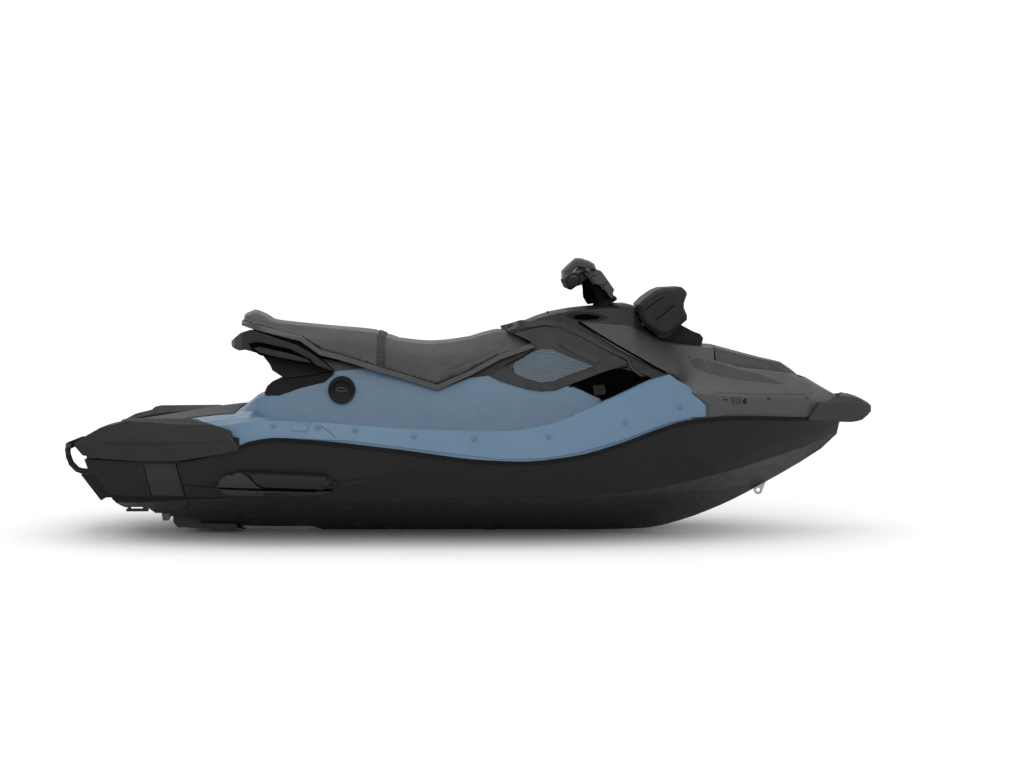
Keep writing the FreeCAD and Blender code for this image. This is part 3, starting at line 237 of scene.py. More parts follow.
def vinyl():
    """Seat cover: fine pebbled grain over a mottled dark grey with pale specks."""
    g = Graph("seat_vinyl")
    color = (0.0430, 0.0430, 0.0439)
    specks = g.ramp(g.noise(420.0, 2.0), 0.0, 0.35, 0.45, 0.75)
    base = g.mix(specks, mottled(g, color, 7.0, 5.0, 0.08), shade(color, 1.5))
    g.surface(base, g.ramp(g.noise(20.0, 4.0), 0.55, 0.68), 0.35)
    g.feed(g.shader.inputs["Sheen Weight"], 0.08)
    g.bump(g.cells(330.0), 0.00035, 0.7)
    g.bump(g.noise(900.0, 2.0), 0.0001, 0.5)
    return g.mat


def foam():
    """Footwell foam: sawn chevron grooves in a pale closed-cell mat."""
    g = Graph("mat_foam")
    color = (0.095, 0.098, 0.102)
    ridge = g.math("MAXIMUM", g.stripes(26.0, (0, 0, 40)), g.stripes(26.0, (0, 0, -40)))
    groove = g.ramp(ridge, 0.0, 1.0, 0.72, 0.92)
    base = g.ramp(g.noise(160.0, 4.0), shade(color, 0.85), shade(color, 1.12))
    g.surface(g.mix(g.math("MULTIPLY", groove, 0.6), base, shade(color, 0.35)), 0.9, 0.2)
    g.bump(g.math("SUBTRACT", 1.0, groove), 0.0025, 0.8)
    g.bump(g.noise(700.0), 0.0003)
    return g.mat


def ribbed_blue():
    """Soft blue knee inset with fine level ribs."""
    g = Graph("ribbed_blue")
    color = (0.082, 0.108, 0.132)
    ribs = g.stripes(36.0, (0, 4, 0), "Z")
    base = mottled(g, color, 30.0, 4.0, 0.07)
    g.surface(g.mix(g.ramp(ribs, 0.35, 0.0, 0.02, 0.3), base, shade(color, 0.55)), 0.62, 0.3)
    g.bump(ribs, 0.0016, 0.9)
    g.bump(g.noise(700.0, 2.0), 0.0001)
    return g.mat


def grip_rubber():
    """Grip: rings of small ribs in soft rubber."""
    g = Graph("grip_rubber")
    g.surface(g.ramp(g.noise(90.0, 4.0), 0.004, 0.008), 0.8, 0.25)
    g.bump(g.stripes(60.0, axis="Y"), 0.0012, 0.8)
    g.bump(g.cells(500.0), 0.0002)
    return g.mat


def webbing(name, color):
    """Woven threads."""
    g = Graph(name)
    weave = g.math("MULTIPLY", g.stripes(140.0), g.stripes(140.0, axis="Y"))
    g.surface(g.ramp(weave, shade(color, 0.7), shade(color, 1.25), 0.1, 0.8), 0.8, 0.2)
    g.bump(weave, 0.0004)
    g.bump(g.noise(600.0, 2.0), 0.0002)
    return g.mat


# The zone paints the hull's bottom below the chine near black: painted shade on the faces that look down and
# get little light.
HULL = plastic("hull_gelcoat", (0.0085, 0.0085, 0.0087), 0.45, grain=0.00002, spread=0.08, specular=0.14,
               zones=[((("Z", -0.25, -0.012),), (0.0010, 0.0010, 0.0010))])
BLUE_LOOK = {"color": (0.083, 0.147, 0.216), "rough": 0.38, "grain": 0.00003, "spread": 0.03, "wear": 0.12,
             "specular": 0.32}
BLUE = plastic("body_blue", zones=[((("X", -1.60, -0.90), ("Z", -0.19, 0.215)), (0.006, 0.006, 0.006))],
               **BLUE_LOOK)
PANEL = plastic("panel_blue", **BLUE_LOOK)
PANEL_GAP = plastic("panel_gap", (0.020, 0.036, 0.052), 0.8, edge=0.0, specular=0.1)
GREY = plastic("bow_grey", (0.0430, 0.0430, 0.0447), 0.5, grain=0.00008, spread=0.05, specular=0.3)
# A darker copy of the bow grey: painted shade for the valley beside the hood. The cowl boss and the hood's
# inset use it too.
VALLEY = plastic("bow_grey_shade", (0.0300, 0.0300, 0.0309), 0.55, grain=0.00008, spread=0.05, specular=0.22)
BUMPER = plastic("bumper_grey", (0.0105, 0.0105, 0.0107), 0.65, grain=0.00018, grain_scale=700.0, spread=0.06,
                 specular=0.25, edge=0.005)
BOW_BUMPER = plastic("bow_bumper_grey", (0.0185, 0.0185, 0.0190), 0.6, grain=0.00018, grain_scale=700.0,
                     spread=0.06, specular=0.3, edge=0.005)
# The hood's grey is a darker copy of the bow grey: painted shade on the hood's top, which gets less light
# than the cowl's sides.
HOOD = plastic("hood_grey", (0.0225, 0.0225, 0.0234), 0.5, grain=0.00008, spread=0.05, specular=0.25)
GRAB = plastic("handle_plastic", (0.0070, 0.0070, 0.0072), 0.5, grain=0.00012, spread=0.1, specular=0.25)
TAIL = plastic("tail_plastic", (0.0072, 0.0072, 0.0073), 0.6, grain=0.00012, spread=0.1, specular=0.1)
BLACK = plastic("black_plastic", (0.0040, 0.0040, 0.0041), 0.55, grain=0.00012, spread=0.1, specular=0.16)
# The zone gives the cowl arm on the console its grey, and paints it lighter than the bow grey: its real grey
# plus painted light on its brightly lit side.
CONSOLE = plastic("console_plastic", (0.0120, 0.0120, 0.0124), 0.52, grain=0.00012, spread=0.08,
                  specular=0.25,
                  zones=[((("X", 0.70, 1.0), ("Z", 0.30, 1.0)), (0.0560, 0.0560, 0.0580))])
RUBBER = plastic("rubber", (0.004, 0.004, 0.004), 0.8, grain=0.0001, spread=0.1, specular=0.15)
PAD = plastic("knee_pad", (0.0230, 0.0230, 0.0240), 0.65, grain=0.00015, grain_scale=600.0, specular=0.3)
ALLOY = plastic("pump_alloy", (0.028, 0.028, 0.0285), 0.55, metallic=0.3, grain=0.0002)
STEEL = plastic("steel", (0.30, 0.30, 0.30), 0.35, metallic=1.0, wear=0.1)
COATED = plastic("step_black", (0.0045, 0.0045, 0.0045), 0.5, grain=0.0001, specular=0.2)
SPEAKER = plastic("speaker_plastic", (0.0060, 0.0060, 0.0062), 0.6, grain=0.00015, specular=0.25, edge=0.006)
ENGINE = plastic("engine_metal", (0.08, 0.08, 0.085), 0.5, metallic=0.5)
SEAM = plastic("gap_black", (0.0010, 0.0010, 0.0010), 0.95, spread=0.1, specular=0.02, edge=0.0)
FRAME = plastic("console_frame", (0.0150, 0.0150, 0.0155), 0.5, grain=0.0001, specular=0.35, edge=0.004)
# Near black for the shade in recesses, slots and hollows behind parts: painted shade.
PAINTED_SHADE = plastic("painted_shade_black", (0.0006, 0.0006, 0.0006), 0.95, grain=0.0001, specular=0.02, wear=0.1)
STERN_GREY = plastic("stern_plate_grey", (0.0120, 0.0120, 0.0123), 0.55, grain=0.00008, specular=0.25)
FIN = plastic("fin_plastic", (0.0155, 0.0155, 0.0158), 0.5, grain=0.0001, specular=0.25)
FIN_DARK = plastic("fin_plastic_dark", (0.0090, 0.0090, 0.0093), 0.5, grain=0.0001, specular=0.2)
ZINC = plastic("anode_zinc", (0.03, 0.03, 0.03), 0.6, metallic=0.2, grain=0.0002)
BLACK_SOFT = plastic("control_plastic", (0.0250, 0.0250, 0.0258), 0.5, grain=0.00012, spread=0.08,
                     specular=0.4)
PAD_TOP = plastic("bar_pad_plastic", (0.0265, 0.0265, 0.0272), 0.55, grain=0.00012, spread=0.08,
                  specular=0.35)
SWITCH = plastic("switch_grey", (0.030, 0.031, 0.032), 0.45, grain=0.00005, specular=0.4)
SEAT = vinyl()
FOAM = foam()
RIBBED = ribbed_blue()
GRIP = grip_rubber()
STRAP = webbing("strap_webbing", (0.047, 0.047, 0.048))
THREAD = webbing("seam_thread", (0.050, 0.050, 0.052))

LOOKS = {
    "hull_gelcoat": HULL, "trim_rubber": RUBBER, "body_blue": BLUE, "bow_grey": GREY, "bumper_grey": BUMPER,
    "black_plastic": BLACK, "seat_vinyl": SEAT, "mat_foam": FOAM, "knee_pad": PAD, "pump_alloy": ALLOY,
    "steel": STEEL, "step_black": COATED, "engine_metal": ENGINE, "grip_rubber": GRIP,
    "speaker_plastic": SPEAKER,
}
OWN_LOOKS = {
    "console": CONSOLE, "bow_bumper": BOW_BUMPER, "glovebox_lid": CONSOLE, "storage_lid": HOOD,
    "grab_handle": GRAB, "tail_cowl": TAIL, "seat_base": SEAT,
    "steering_nozzle": COATED, "reverse_bucket": COATED,
}
SMOOTH_ANGLE = math.radians(24)


def smoothing():
    """Node group that smooths the shading across edges under an angle."""
    tree = bpy.data.node_groups.new("smooth_by_angle", "GeometryNodeTree")
    for way in ("INPUT", "OUTPUT"):
        tree.interface.new_socket("Geometry", in_out=way, socket_type="NodeSocketGeometry")
    start = tree.nodes.new("NodeGroupInput")
    end = tree.nodes.new("NodeGroupOutput")
    angle = tree.nodes.new("GeometryNodeInputMeshEdgeAngle")
    sharp = tree.nodes.new("FunctionNodeCompare")
    sharp.data_type = "FLOAT"
    sharp.operation = "GREATER_THAN"
    sharp.inputs[1].default_value = SMOOTH_ANGLE
    faces = tree.nodes.new("GeometryNodeSetShadeSmooth")
    faces.domain = "FACE"
    edges = tree.nodes.new("GeometryNodeSetShadeSmooth")
    edges.domain = "EDGE"
    edges.inputs["Shade Smooth"].default_value = False
    tree.links.new(start.outputs[0], faces.inputs["Geometry"])
    tree.links.new(faces.outputs[0], edges.inputs["Geometry"])
    tree.links.new(angle.outputs["Unsigned Angle"], sharp.inputs[0])
    tree.links.new(sharp.outputs[0], edges.inputs["Selection"])
    tree.links.new(edges.outputs[0], end.inputs[0])
    return tree


SMOOTH = smoothing()


def sharpen(piece):
    """Keep a piece's hard edges hard in the shading."""
    piece.modifiers.new("smooth", "NODES").node_group = SMOOTH


for part in frame["record"]["subparts"]:
    piece = nodes[part["node"]]
    for place in piece.material_slots:
        place.link = "OBJECT"
        place.material = OWN_LOOKS.get(part["node"], LOOKS[part["material_slot"]])
    sharpen(piece)
    weighted = piece.modifiers.new("weighted", "WEIGHTED_NORMAL")
    weighted.keep_sharp = True
    weighted.weight = 60

# Tools for pieces that lie on the craft's surfaces

# How a pad's edge rises: the share of the edge's width, and of the pad's height, at each step.
EDGE_STEPS = ((0.35, 0.72), (0.65, 1.0))
# How far a pad's rim sinks into what it lies on.
PAD_SINK = 1.0
FILL_ROUNDS = 12
LINE_PITCH = 8.0
# Where level rays start, in metres from the centreline.
RAY_START = 1.5
# Two directions whose cross product is shorter than this are taken as parallel.
LEVEL_LIMIT = 0.2
TINY = 1e-6


def tree_from(*meshes):
    """A ray tree of the meshes."""
    mesh = bmesh.new()
    for data in meshes:
        mesh.from_mesh(data)
    tree = BVHTree.FromBMesh(mesh)
    mesh.free()
    return tree


def tree_of(*names):
    """A ray tree of the named nodes."""
    return tree_from(*(nodes[name].data for name in names))


def side_hit(tree, x, z, side):
    """Where a level ray from one side meets the tree, and the normal there, in metres in the frame."""
    return tree.ray_cast(Vector((x, side * RAY_START, z)), Vector((0, -side, 0)))[:2]


def draped(points, tree, side, lift):
    """Points (x, z) of the side view, laid on one side of the craft and lifted off it."""
    line = []
    for x, z in points:
        place = side_hit(tree, x * MM, (z - DRAFT) * MM, side)[0]
        if place is not None:
            line.append(place + Vector((0, side * lift * MM, 0)))
    return line


def piece_from(name, mesh, look, body="craft", outward=False, sharp=False):
    """An object made from a bmesh, with its material and body.

    With outward its faces are turned out, and with sharp its hard edges stay hard.
    """
    if outward:
        bmesh.ops.recalc_face_normals(mesh, faces=mesh.faces)
    for face in mesh.faces:
        face.smooth = True
    data = bpy.data.meshes.new(name)
    mesh.to_mesh(data)
    mesh.free()
    made = bpy.data.objects.new(name, data)
    bpy.context.scene.collection.objects.link(made)
    data.materials.append(look)
    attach(made, body)
    if sharp:
        sharpen(made)
    return made


def near_places(vert, found):
    """The places already found for a vertex's neighbours."""
    others = [edge.other_vert(vert) for edge in vert.link_edges]
    return [found[other] for other in others if other in found]


def lay(outline, tree, side, lift, edge, pitch, ease):
    """A raised pad as a bmesh: an outline in side view, draped on one side of the craft.

    With ease it bridges the steps under it, but never sinks below what it lies on.
    """
    out = Vector((0, side, 0))
    work = bmesh.new()
    height = work.verts.layers.float.new("height")
    area = sum(a[0] * b[1] - b[0] * a[1] for a, b in zip(outline, outline[1:] + outline[:1]))
    work.faces.new([work.verts.new((a * MM, b * MM, 0)) for a, b in (outline if area > 0 else outline[::-1])])
    inner = list(work.faces)
    for wide, value in EDGE_STEPS:
        bmesh.ops.inset_region(work, faces=inner, thickness=edge * wide * MM, use_even_offset=True)
        for vert in {v for f in inner for v in f.verts}:
            vert[height] = value
    for axis, along in ((0, Vector((1, 0, 0))), (1, Vector((0, 1, 0)))):
        low = min(v.co[axis] for v in work.verts)
        high = max(v.co[axis] for v in work.verts)
        for i in range(1, int((high - low) / (pitch * MM)) + 1):
            cut = low + i * pitch * MM
            if cut < high - 10 * TINY:
                bmesh.ops.bisect_plane(work, geom=list(work.verts) + list(work.edges) + list(work.faces),
                                       plane_co=along * cut, plane_no=along)
    found = {}
    for vert in work.verts:
        place = side_hit(tree, vert.co.x, vert.co.y - DRAFT * MM, side)[0]
        if place is not None:
            found[vert] = place
    # A vertex whose ray meets nothing takes the depth of its neighbours.
    waiting = [v for v in work.verts if v not in found]
    for _ in range(FILL_ROUNDS):
        for vert in list(waiting):
            near = near_places(vert, found)
            if near:
                spot = sum(near, Vector()) / len(near)
                found[vert] = Vector((vert.co.x, spot.y, vert.co.y - DRAFT * MM))
                waiting.remove(vert)
    for _ in range(ease):
        means = {}
        for vert in work.verts:
            near = near_places(vert, found)
            if near and vert in found and not vert.is_boundary:
                means[vert] = sum((p.dot(out) for p in near)) / len(near)
        for vert, mean in means.items():
            gain = mean - found[vert].dot(out)
            if gain > 0:
                found[vert] = found[vert] + out * gain
    for vert in work.verts:
        rise = -PAD_SINK + (lift + PAD_SINK) * vert[height]
        vert.co = found.get(vert, vert.co) + out * rise * MM
    bmesh.ops.triangulate(work, faces=[f for f in work.faces if len(f.verts) > 4])
    if side > 0:
        bmesh.ops.reverse_faces(work, faces=list(work.faces))
    return work


def side_pad(name, outline, tree, look, lift, edge, pitch=14.0, body="craft", ease=0):
    """A raised pad on each side, given by its outline in side view."""
    mesh = bmesh.new()
    for side in BOTH:
        pad = lay(outline, tree, side, lift, edge, pitch, ease)
        data = bpy.data.meshes.new("pad")
        pad.to_mesh(data)
        pad.free()
        mesh.from_mesh(data)
        bpy.data.meshes.remove(data)
    return piece_from(name, mesh, look, body)


def rounded_line(points):
    """A polyline with points closely spaced."""
    line = [Vector(points[0])]
    for a, b in zip(points, points[1:]):
        a, b = Vector(a), Vector(b)
        count = max(1, int((b - a).length / LINE_PITCH))
        line += [a.lerp(b, (i + 1) / count) for i in range(count)]
    return line


def smooth_line(points, pitch=LINE_PITCH):
    """A smooth line through the points, closely spaced."""
    places = [Vector(p) for p in points]
    line = []
    for i in range(len(places) - 1):
        before = places[max(0, i - 1)]
        after = places[min(len(places) - 1, i + 2)]
        a, b = places[i], places[i + 1]
        count = max(2, int((b - a).length / pitch))
        reach_a = (b - before) * ((b - a).length / max(TINY, (b - before).length)) / 3
        reach_b = (after - a) * ((b - a).length / max(TINY, (after - a).length)) / 3
        line += interpolate_bezier(a, a + reach_a, b - reach_b, b, count)[:-1]
    return line + [places[-1]]


def eased(line, times=1):
    """The line with its inner points drawn towards their neighbours."""
    for _ in range(times):
        line = [line[0]] + [(a + b * 2 + c) / 4 for a, b, c in zip(line, line[1:], line[2:])] + [line[-1]]
    return line


def loft(mesh, rings, caps=True):
    """Skin over closed rings with the same number of points; a ring of one point ends the skin in a tip."""
    made = [[mesh.verts.new(p) for p in ring] for ring in rings]
    for a, b in zip(made, made[1:]):
        for k in range(max(len(a), len(b))):
            corners = (a[k % len(a)], b[k % len(b)], b[(k + 1) % len(b)], a[(k + 1) % len(a)])
            mesh.faces.new(list(dict.fromkeys(corners)))
    if caps:
        mesh.faces.new(made[0])
        mesh.faces.new(made[-1][::-1])


def square_to(along):
    """Two directions square to a direction and to each other, the first of them level where it can be."""
    across = along.cross(Vector((0, 0, 1)))
    if across.length < LEVEL_LIMIT:
        across = along.cross(Vector((0, 1, 0)))
    across.normalize()
    return across, across.cross(along)


def sweep(mesh, line, radius, sides, flat=1.0):
    """A tube along a line of points in metres; flat is its height over its width."""
    rings = []
    r = radius * MM
    for i, place in enumerate(line):
        across, rise = square_to((line[min(i + 1, len(line) - 1)] - line[max(i - 1, 0)]).normalized())
        angles = [2 * math.pi * k / sides for k in range(sides)]
        rings.append([place + across * math.cos(a) * r + rise * math.sin(a) * r * flat for a in angles])
    loft(mesh, rings)


def side_lines(name, look, rows, curved=False, segments=6):
    """One piece of thin tubes on both sides: seams, lips or gaps.

    A row is (line in side view, tree to lie on, radius, lift). When curved, a line of more than two points is
    drawn smooth.
    """
    mesh = bmesh.new()
    for points, tree, radius, lift in rows:
        make = smooth_line if curved and len(points) > 2 else rounded_line
        flat_line = [(p.x, p.z) for p in make([(x, 0, z) for x, z in points])]
        for side in BOTH:
            line = draped(flat_line, tree, side, lift)
            if len(line) > 2:
                sweep(mesh, eased(line), radius, segments)
    piece_from(name, mesh, look)


def lathe(mesh, profile, base, axis, segments):
    """A turned form: profile of (radius, height) about an axis from a base point."""
    axis = axis.normalized()
    across, rise = square_to(axis)
    rings = []
    for r, h in profile:
        angles = [2 * math.pi * k / segments for k in range(segments)] if r else [0.0]
        rings.append([base + axis * h * MM + (across * math.cos(a) - rise * math.sin(a)) * r * MM
                      for a in angles])
    loft(mesh, rings, caps=False)


COLUMN_LEAN = math.radians(33)
COLUMN_FOOT = (470, 892)
BEVEL_ANGLE = math.radians(22)


def steered(x, y, z):
    """A point given about the steering axis in millimetres, as a place in the craft's frame in metres."""
    return at(COLUMN_FOOT[0] + x * math.cos(COLUMN_LEAN) - z * math.sin(COLUMN_LEAN), y,
              COLUMN_FOOT[1] + x * math.sin(COLUMN_LEAN) + z * math.cos(COLUMN_LEAN))


def slab(name, outline, steps, look, body="craft", bevel=3.0, mirror=False):
    """A form made of side view outlines across y, with bevelled edges: steps are (y, scale of the outline).

    The outline of a piece of the steering is given about the steering axis.
    """
    place = steered if body == "steering" else at
    mesh = bmesh.new()
    cx = sum(p[0] for p in outline) / len(outline)
    cz = sum(p[1] for p in outline) / len(outline)
    sets = [steps]
    if mirror:
        sets.append([(-y, scale) for y, scale in reversed(steps)])
    for rows in sets:
        loft(mesh, [[place(cx + (x - cx) * scale, y, cz + (z - cz) * scale) for x, z in outline]
                    for y, scale in rows])
    made = piece_from(name, mesh, look, body, outward=True)
    edge = made.modifiers.new("bevel", "BEVEL")
    edge.width = bevel * MM
    edge.segments = 3
    edge.limit_method = "ANGLE"
    edge.angle_limit = BEVEL_ANGLE
    sharpen(made)
    return made


HULL_TREE = tree_of("hull")
UPPER_TREE = tree_of("deck", "side_panel_left", "side_panel_right")
PANEL_TREE = tree_of("side_panel_left", "side_panel_right")
KNEE_TREE = tree_of("knee_panel_left", "knee_panel_right", "console")
COWL_TREE = tree_of("bow_cowl", "storage_lid", "console")
HOOD_TREE = tree_of("storage_lid")
SPONSON_TREE = tree_of("sponson_left", "sponson_right", "hull")
BUMPER_TREE = tree_of("stern_bumper_left", "stern_bumper_right")
FOOT_TREE = tree_of("console", "deck", "bow_cowl")
SPEAKER_TREE = tree_of("speaker")
CAP_TREE = tree_of("fuel_cap")
PLATE_TREE = tree_of("ride_plate")
TAIL_TREE = tree_of("tail_cowl", "deck")
HANDLE_TREE = tree_of("grab_handle")

# Seat

CLOTH = {"quality": 4, "mass": 0.4, "tension_stiffness": 30, "compression_stiffness": 30,
         "shear_stiffness": 20, "bending_stiffness": 2, "use_pressure": True, "uniform_pressure_force": 4.0}
CLOTH_FRAMES = 20
VOXEL = 0.007
# The cover starts inside the solid, this far on its sides and this much more on top, and swells out again.
TUCK, TUCK_TOP = 0.001, 0.005
# How far the cover may swell, and how far its flat bottom may.
SWELL, SWELL_BOTTOM = 0.009, 0.0005
# The tuck, the full swell and the seams end where a normal's z is lower than this.
TUCK_END, SWELL_END, SEAM_END = -0.8, -0.85, -0.6
# The top of the rear cushion hangs this much further aft than the solid's. It begins at these places, aft of
# the middle and above the waterline, and is whole after these lengths.
OVERHANG = 0.028
OVERHANG_AFT, OVERHANG_UP = (0.845, 0.07), (0.630, 0.035)


def settle(piece, cap):
    """Swell a closed mesh under pressure as cloth, no point moving further than its cap."""
    cloth = piece.modifiers.new("cloth", "CLOTH")
    for key, value in CLOTH.items():
        setattr(cloth.settings, key, value)
    cloth.settings.effector_weights.gravity = 0
    cloth.collision_settings.use_self_collision = False
    cloth.point_cache.frame_start = 1
    cloth.point_cache.frame_end = CLOTH_FRAMES
    for i in range(1, CLOTH_FRAMES + 1):
        bpy.context.scene.frame_set(i)
    depsgraph = bpy.context.evaluated_depsgraph_get()
    swollen = piece.evaluated_get(depsgraph).to_mesh()
    moved = [v.co.copy() for v in swollen.vertices]
    piece.evaluated_get(depsgraph).to_mesh_clear()
    piece.modifiers.remove(cloth)
    for (vert, normal), place in zip(normals(piece.data), moved):
        step = place - vert.co
        limit = cap(normal)
        if step.length > limit:
            step *= limit / step.length
        vert.co += step
    bpy.context.scene.frame_set(1)


def baked(piece):
    """Apply the piece's modifiers to its mesh."""
    depsgraph = bpy.context.evaluated_depsgraph_get()
    mesh = bpy.data.meshes.new_from_object(piece.evaluated_get(depsgraph))
    piece.modifiers.clear()
    piece.data = mesh


def normals(mesh):
    """Each vertex with its normal before anything moves."""
    return list(zip(mesh.vertices, [v.normal.copy() for v in mesh.vertices]))


def segment_distance(p, a, b):
    """How far a point lies from the segment between two others."""
    ab = b - a
    t = max(0.0, min(1.0, (p - a).dot(ab) / ab.length_squared))
    return (p - a - ab * t).length


def part_way(value, start, length):
    """0 up to the start and 1 from the length beyond it."""
    return min(1.0, max(0.0, (value - start) / length))


# Each row: points in side view, lowest |y| that the seam reaches, depth.
SEAT_SEAMS = [
    ([(-905, 838), (-830, 795), (-709, 746), (-554, 697), (-412, 652)], 70, 2.6),
    ([(-331, 775), (-330, 757), (-270, 606)], 0, 2.6),
    ([(-414, 800), (-414, 600)], 0, 2.4),
    ([(-376, 800), (-376, 600)], 0, 2.4),
    ([(-248, 700), (-120, 640), (0, 686), (130, 758)], 110, 2.2),
]
SEAM_WIDTH = 0.0034


def press_seams(mesh):
    """Sink the cover along each seam."""
    seams = [([Vector((x, z - DRAFT)) * MM for x, z in line], reach * MM, depth * MM)
             for line, reach, depth in SEAT_SEAMS]
    for vert, normal in normals(mesh):
        flat = Vector((vert.co.x, vert.co.z))
        press = 0.0
        for line, reach, depth in seams:
            if abs(vert.co.y) < reach or normal.z < SEAM_END:
                continue
            d = min(segment_distance(flat, a, b) for a, b in zip(line, line[1:]))
            press = max(press, depth * math.exp(-(d / SEAM_WIDTH) ** 2))
        vert.co -= normal * press


def make_seat():
    """Long saddle in padded vinyl, swollen as cloth, with its seams pressed in afterwards."""
    seat = nodes["seat_cushion"].copy()
    seat.data = nodes["seat_cushion"].data.copy()
    seat.name = "saddle"
    seat.modifiers.clear()
    bpy.context.scene.collection.objects.link(seat)
    remesh = seat.modifiers.new("remesh", "REMESH")
    remesh.mode = "VOXEL"
    remesh.voxel_size = VOXEL
    smooth = seat.modifiers.new("soften", "SMOOTH")
    smooth.factor = 0.5
    smooth.iterations = 4
    baked(seat)
    seat.data.materials.clear()
    seat.data.materials.append(SEAT)
    for vert, normal in normals(seat.data):
        if normal.z > TUCK_END:
            vert.co -= normal * (TUCK + TUCK_TOP * max(0.0, normal.z))
    settle(seat, lambda normal: SWELL_BOTTOM if normal.z < SWELL_END else SWELL)
    mesh = bmesh.new()
    mesh.from_mesh(seat.data)
    bmesh.ops.smooth_vert(mesh, verts=mesh.verts, factor=0.4,
                          use_axis_x=True, use_axis_y=True, use_axis_z=True)
    mesh.to_mesh(seat.data)
    mesh.free()
    seat.modifiers.new("subdivide", "SUBSURF").levels = 1
    baked(seat)
    press_seams(seat.data)
    for vert in seat.data.vertices:
        aft = part_way(-vert.co.x, *OVERHANG_AFT)
        high = part_way(vert.co.z, *OVERHANG_UP)
        vert.co.x -= OVERHANG * aft * aft * high
    for face in seat.data.polygons:
        face.use_smooth = True
    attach(seat, "craft")
    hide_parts("seat_cushion")
    return seat


SEAT_TREE = tree_from(make_seat().data)
STRAP_LOW = 700
STRAP_END = 640
SEAT_RAY = 0.6
DIP = 0.12
STRAP_ROWS = ((-411, 0.0), (-409.5, 2.2), (-406, 2.8), (-395, 3.0), (-384, 2.8), (-380.5, 2.2), (-379, 0.0))


def around_seat(x, lift, count=44):
    """A line over the seat from side to side at a place along it, lifted off the cover.

    Its rays come in from all round towards the craft's middle at the height STRAP_LOW, and from a little
    below it at both ends.
    """
    centre = Vector((x * MM, 0, (STRAP_LOW - DRAFT) * MM))
    line = []
    for i in range(count + 1):
        angle = math.pi * (-DIP + (1 + 2 * DIP) * i / count)
        out = Vector((0, math.cos(angle), math.sin(angle)))
        place = SEAT_TREE.ray_cast(centre + out * SEAT_RAY, -out)[0]
        if place is not None and place.z > (STRAP_END - DRAFT) * MM:
            line.append(place + out * lift * MM)
    return line


def make_strap():
    """Flat band over the seat behind the driver, with a stitch along each edge."""
    rows = [around_seat(x, lift) for x, lift in STRAP_ROWS]
    count = min(len(row) for row in rows)
    mesh = bmesh.new()
    made = [[mesh.verts.new(p) for p in row[:count]] for row in rows]
    for a, b in zip(made, made[1:]):
        for k in range(count - 1):
            mesh.faces.new((a[k], b[k], b[k + 1], a[k + 1]))
    piece_from("seat_strap", mesh, STRAP, outward=True)
    stitches = bmesh.new()
    for x in (-405, -385):
        line = around_seat(x, 3.2, 220)
        for a, b in list(zip(line, line[1:]))[::2]:
            sweep(stitches, [a, b], 0.5, 5)
    piece_from("strap_stitches", stitches, THREAD)


make_strap()
side_lines("seat_piping", SEAT, [
    ([(-905, 838), (-830, 795), (-709, 746), (-554, 697), (-420, 654)], SEAT_TREE, 1.5, -0.9),
    ([(-330, 757), (-270, 612)], SEAT_TREE, 1.3, -0.9),
    ([(-248, 700), (-120, 640), (0, 686), (130, 758)], SEAT_TREE, 1.3, -0.9),
], curved=True)

# Steering: pad over the clamp, shroud down the column's front, bellows, control housings and bar ends

pad = slab("bar_pad", [
    (-70, 198), (-37, 205), (4, 211), (23, 197), (44, 171), (54, 151), (49, 128), (28, 146), (-8, 177),
    (-31, 175), (-66, 168), (-85, 168)
], [(-118, 0.62), (-104, 0.84), (-60, 0.97), (-30, 1.0), (30, 1.0), (60, 0.97), (104, 0.84), (118, 0.62)],
   PAD_TOP, "steering", bevel=3.5)
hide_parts("bar_cover")
slab("steering_shroud", [
    (-14, 190), (27, 152), (60, 115), (62, 89), (63, 56), (64, 24), (50, 14), (49, -6), (33, -2), (31, 60),
    (24, 74), (4, 87), (3, 123), (-5, 154)
], [(-58, 0.9), (-52, 1.0), (52, 1.0), (58, 0.9)], BLACK_SOFT, "steering")
# The column fairing is near black: painted shade.
slab("column_fairing", [(-18, 141), (-6, 115), (0, 82), (-6, 58), (-28, 21), (-54, 31), (-53, 65), (-35, 96)],
     [(-44, 0.92), (-38, 1.0), (38, 1.0), (44, 0.92)], PAINTED_SHADE, "steering")
slab("shroud_cheeks", [(13, 116), (53, 105), (56, 74), (51, 59), (24, 67), (10, 90)],
     [(56, 1.0), (66, 0.96), (69, 0.86)], BLACK_SOFT, "steering", bevel=2.0, mirror=True)

BOOT_FOLDS = 7
FOLD_HEIGHT = 9.0


def make_boot():
    """Rubber bellows under the shroud, with a collar on the console."""
    mesh = bmesh.new()
    profile = [(0, -16), (54, -16), (56, -8), (54, 2), (44, 6)]
    for i in range(BOOT_FOLDS):
        profile += [(40 - i, 10 + FOLD_HEIGHT * i), (33 - i, 14.5 + FOLD_HEIGHT * i)]
    profile += [(31, 76), (26, 80), (21.2, 80), (21.2, 70)]
    base = steered(0, 0, 0)
    lathe(mesh, profile, base, steered(0, 0, 100) - base, 36)
    boot = piece_from("boot_bellows", mesh, RUBBER, outward=True, sharp=True)
    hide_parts("steering_boot")


make_boot()
slab("control_housings", [
    (-88, 166), (-66, 174), (-44, 174), (-18, 159), (-16, 137), (-36, 114), (-56, 120), (-82, 119), (-93, 133)
], [(196, 0.78), (202, 0.95), (222, 1.0), (246, 1.0), (258, 0.9), (264, 0.7)], BLACK,
   "steering", mirror=True)
slab("control_buttons", [(-78, 178), (-57, 176), (-56, 162), (-78, 164)],
     [(206, 0.8), (209, 1.0), (232, 1.0), (236, 0.8)], SWITCH, "steering", bevel=1.5, mirror=True)


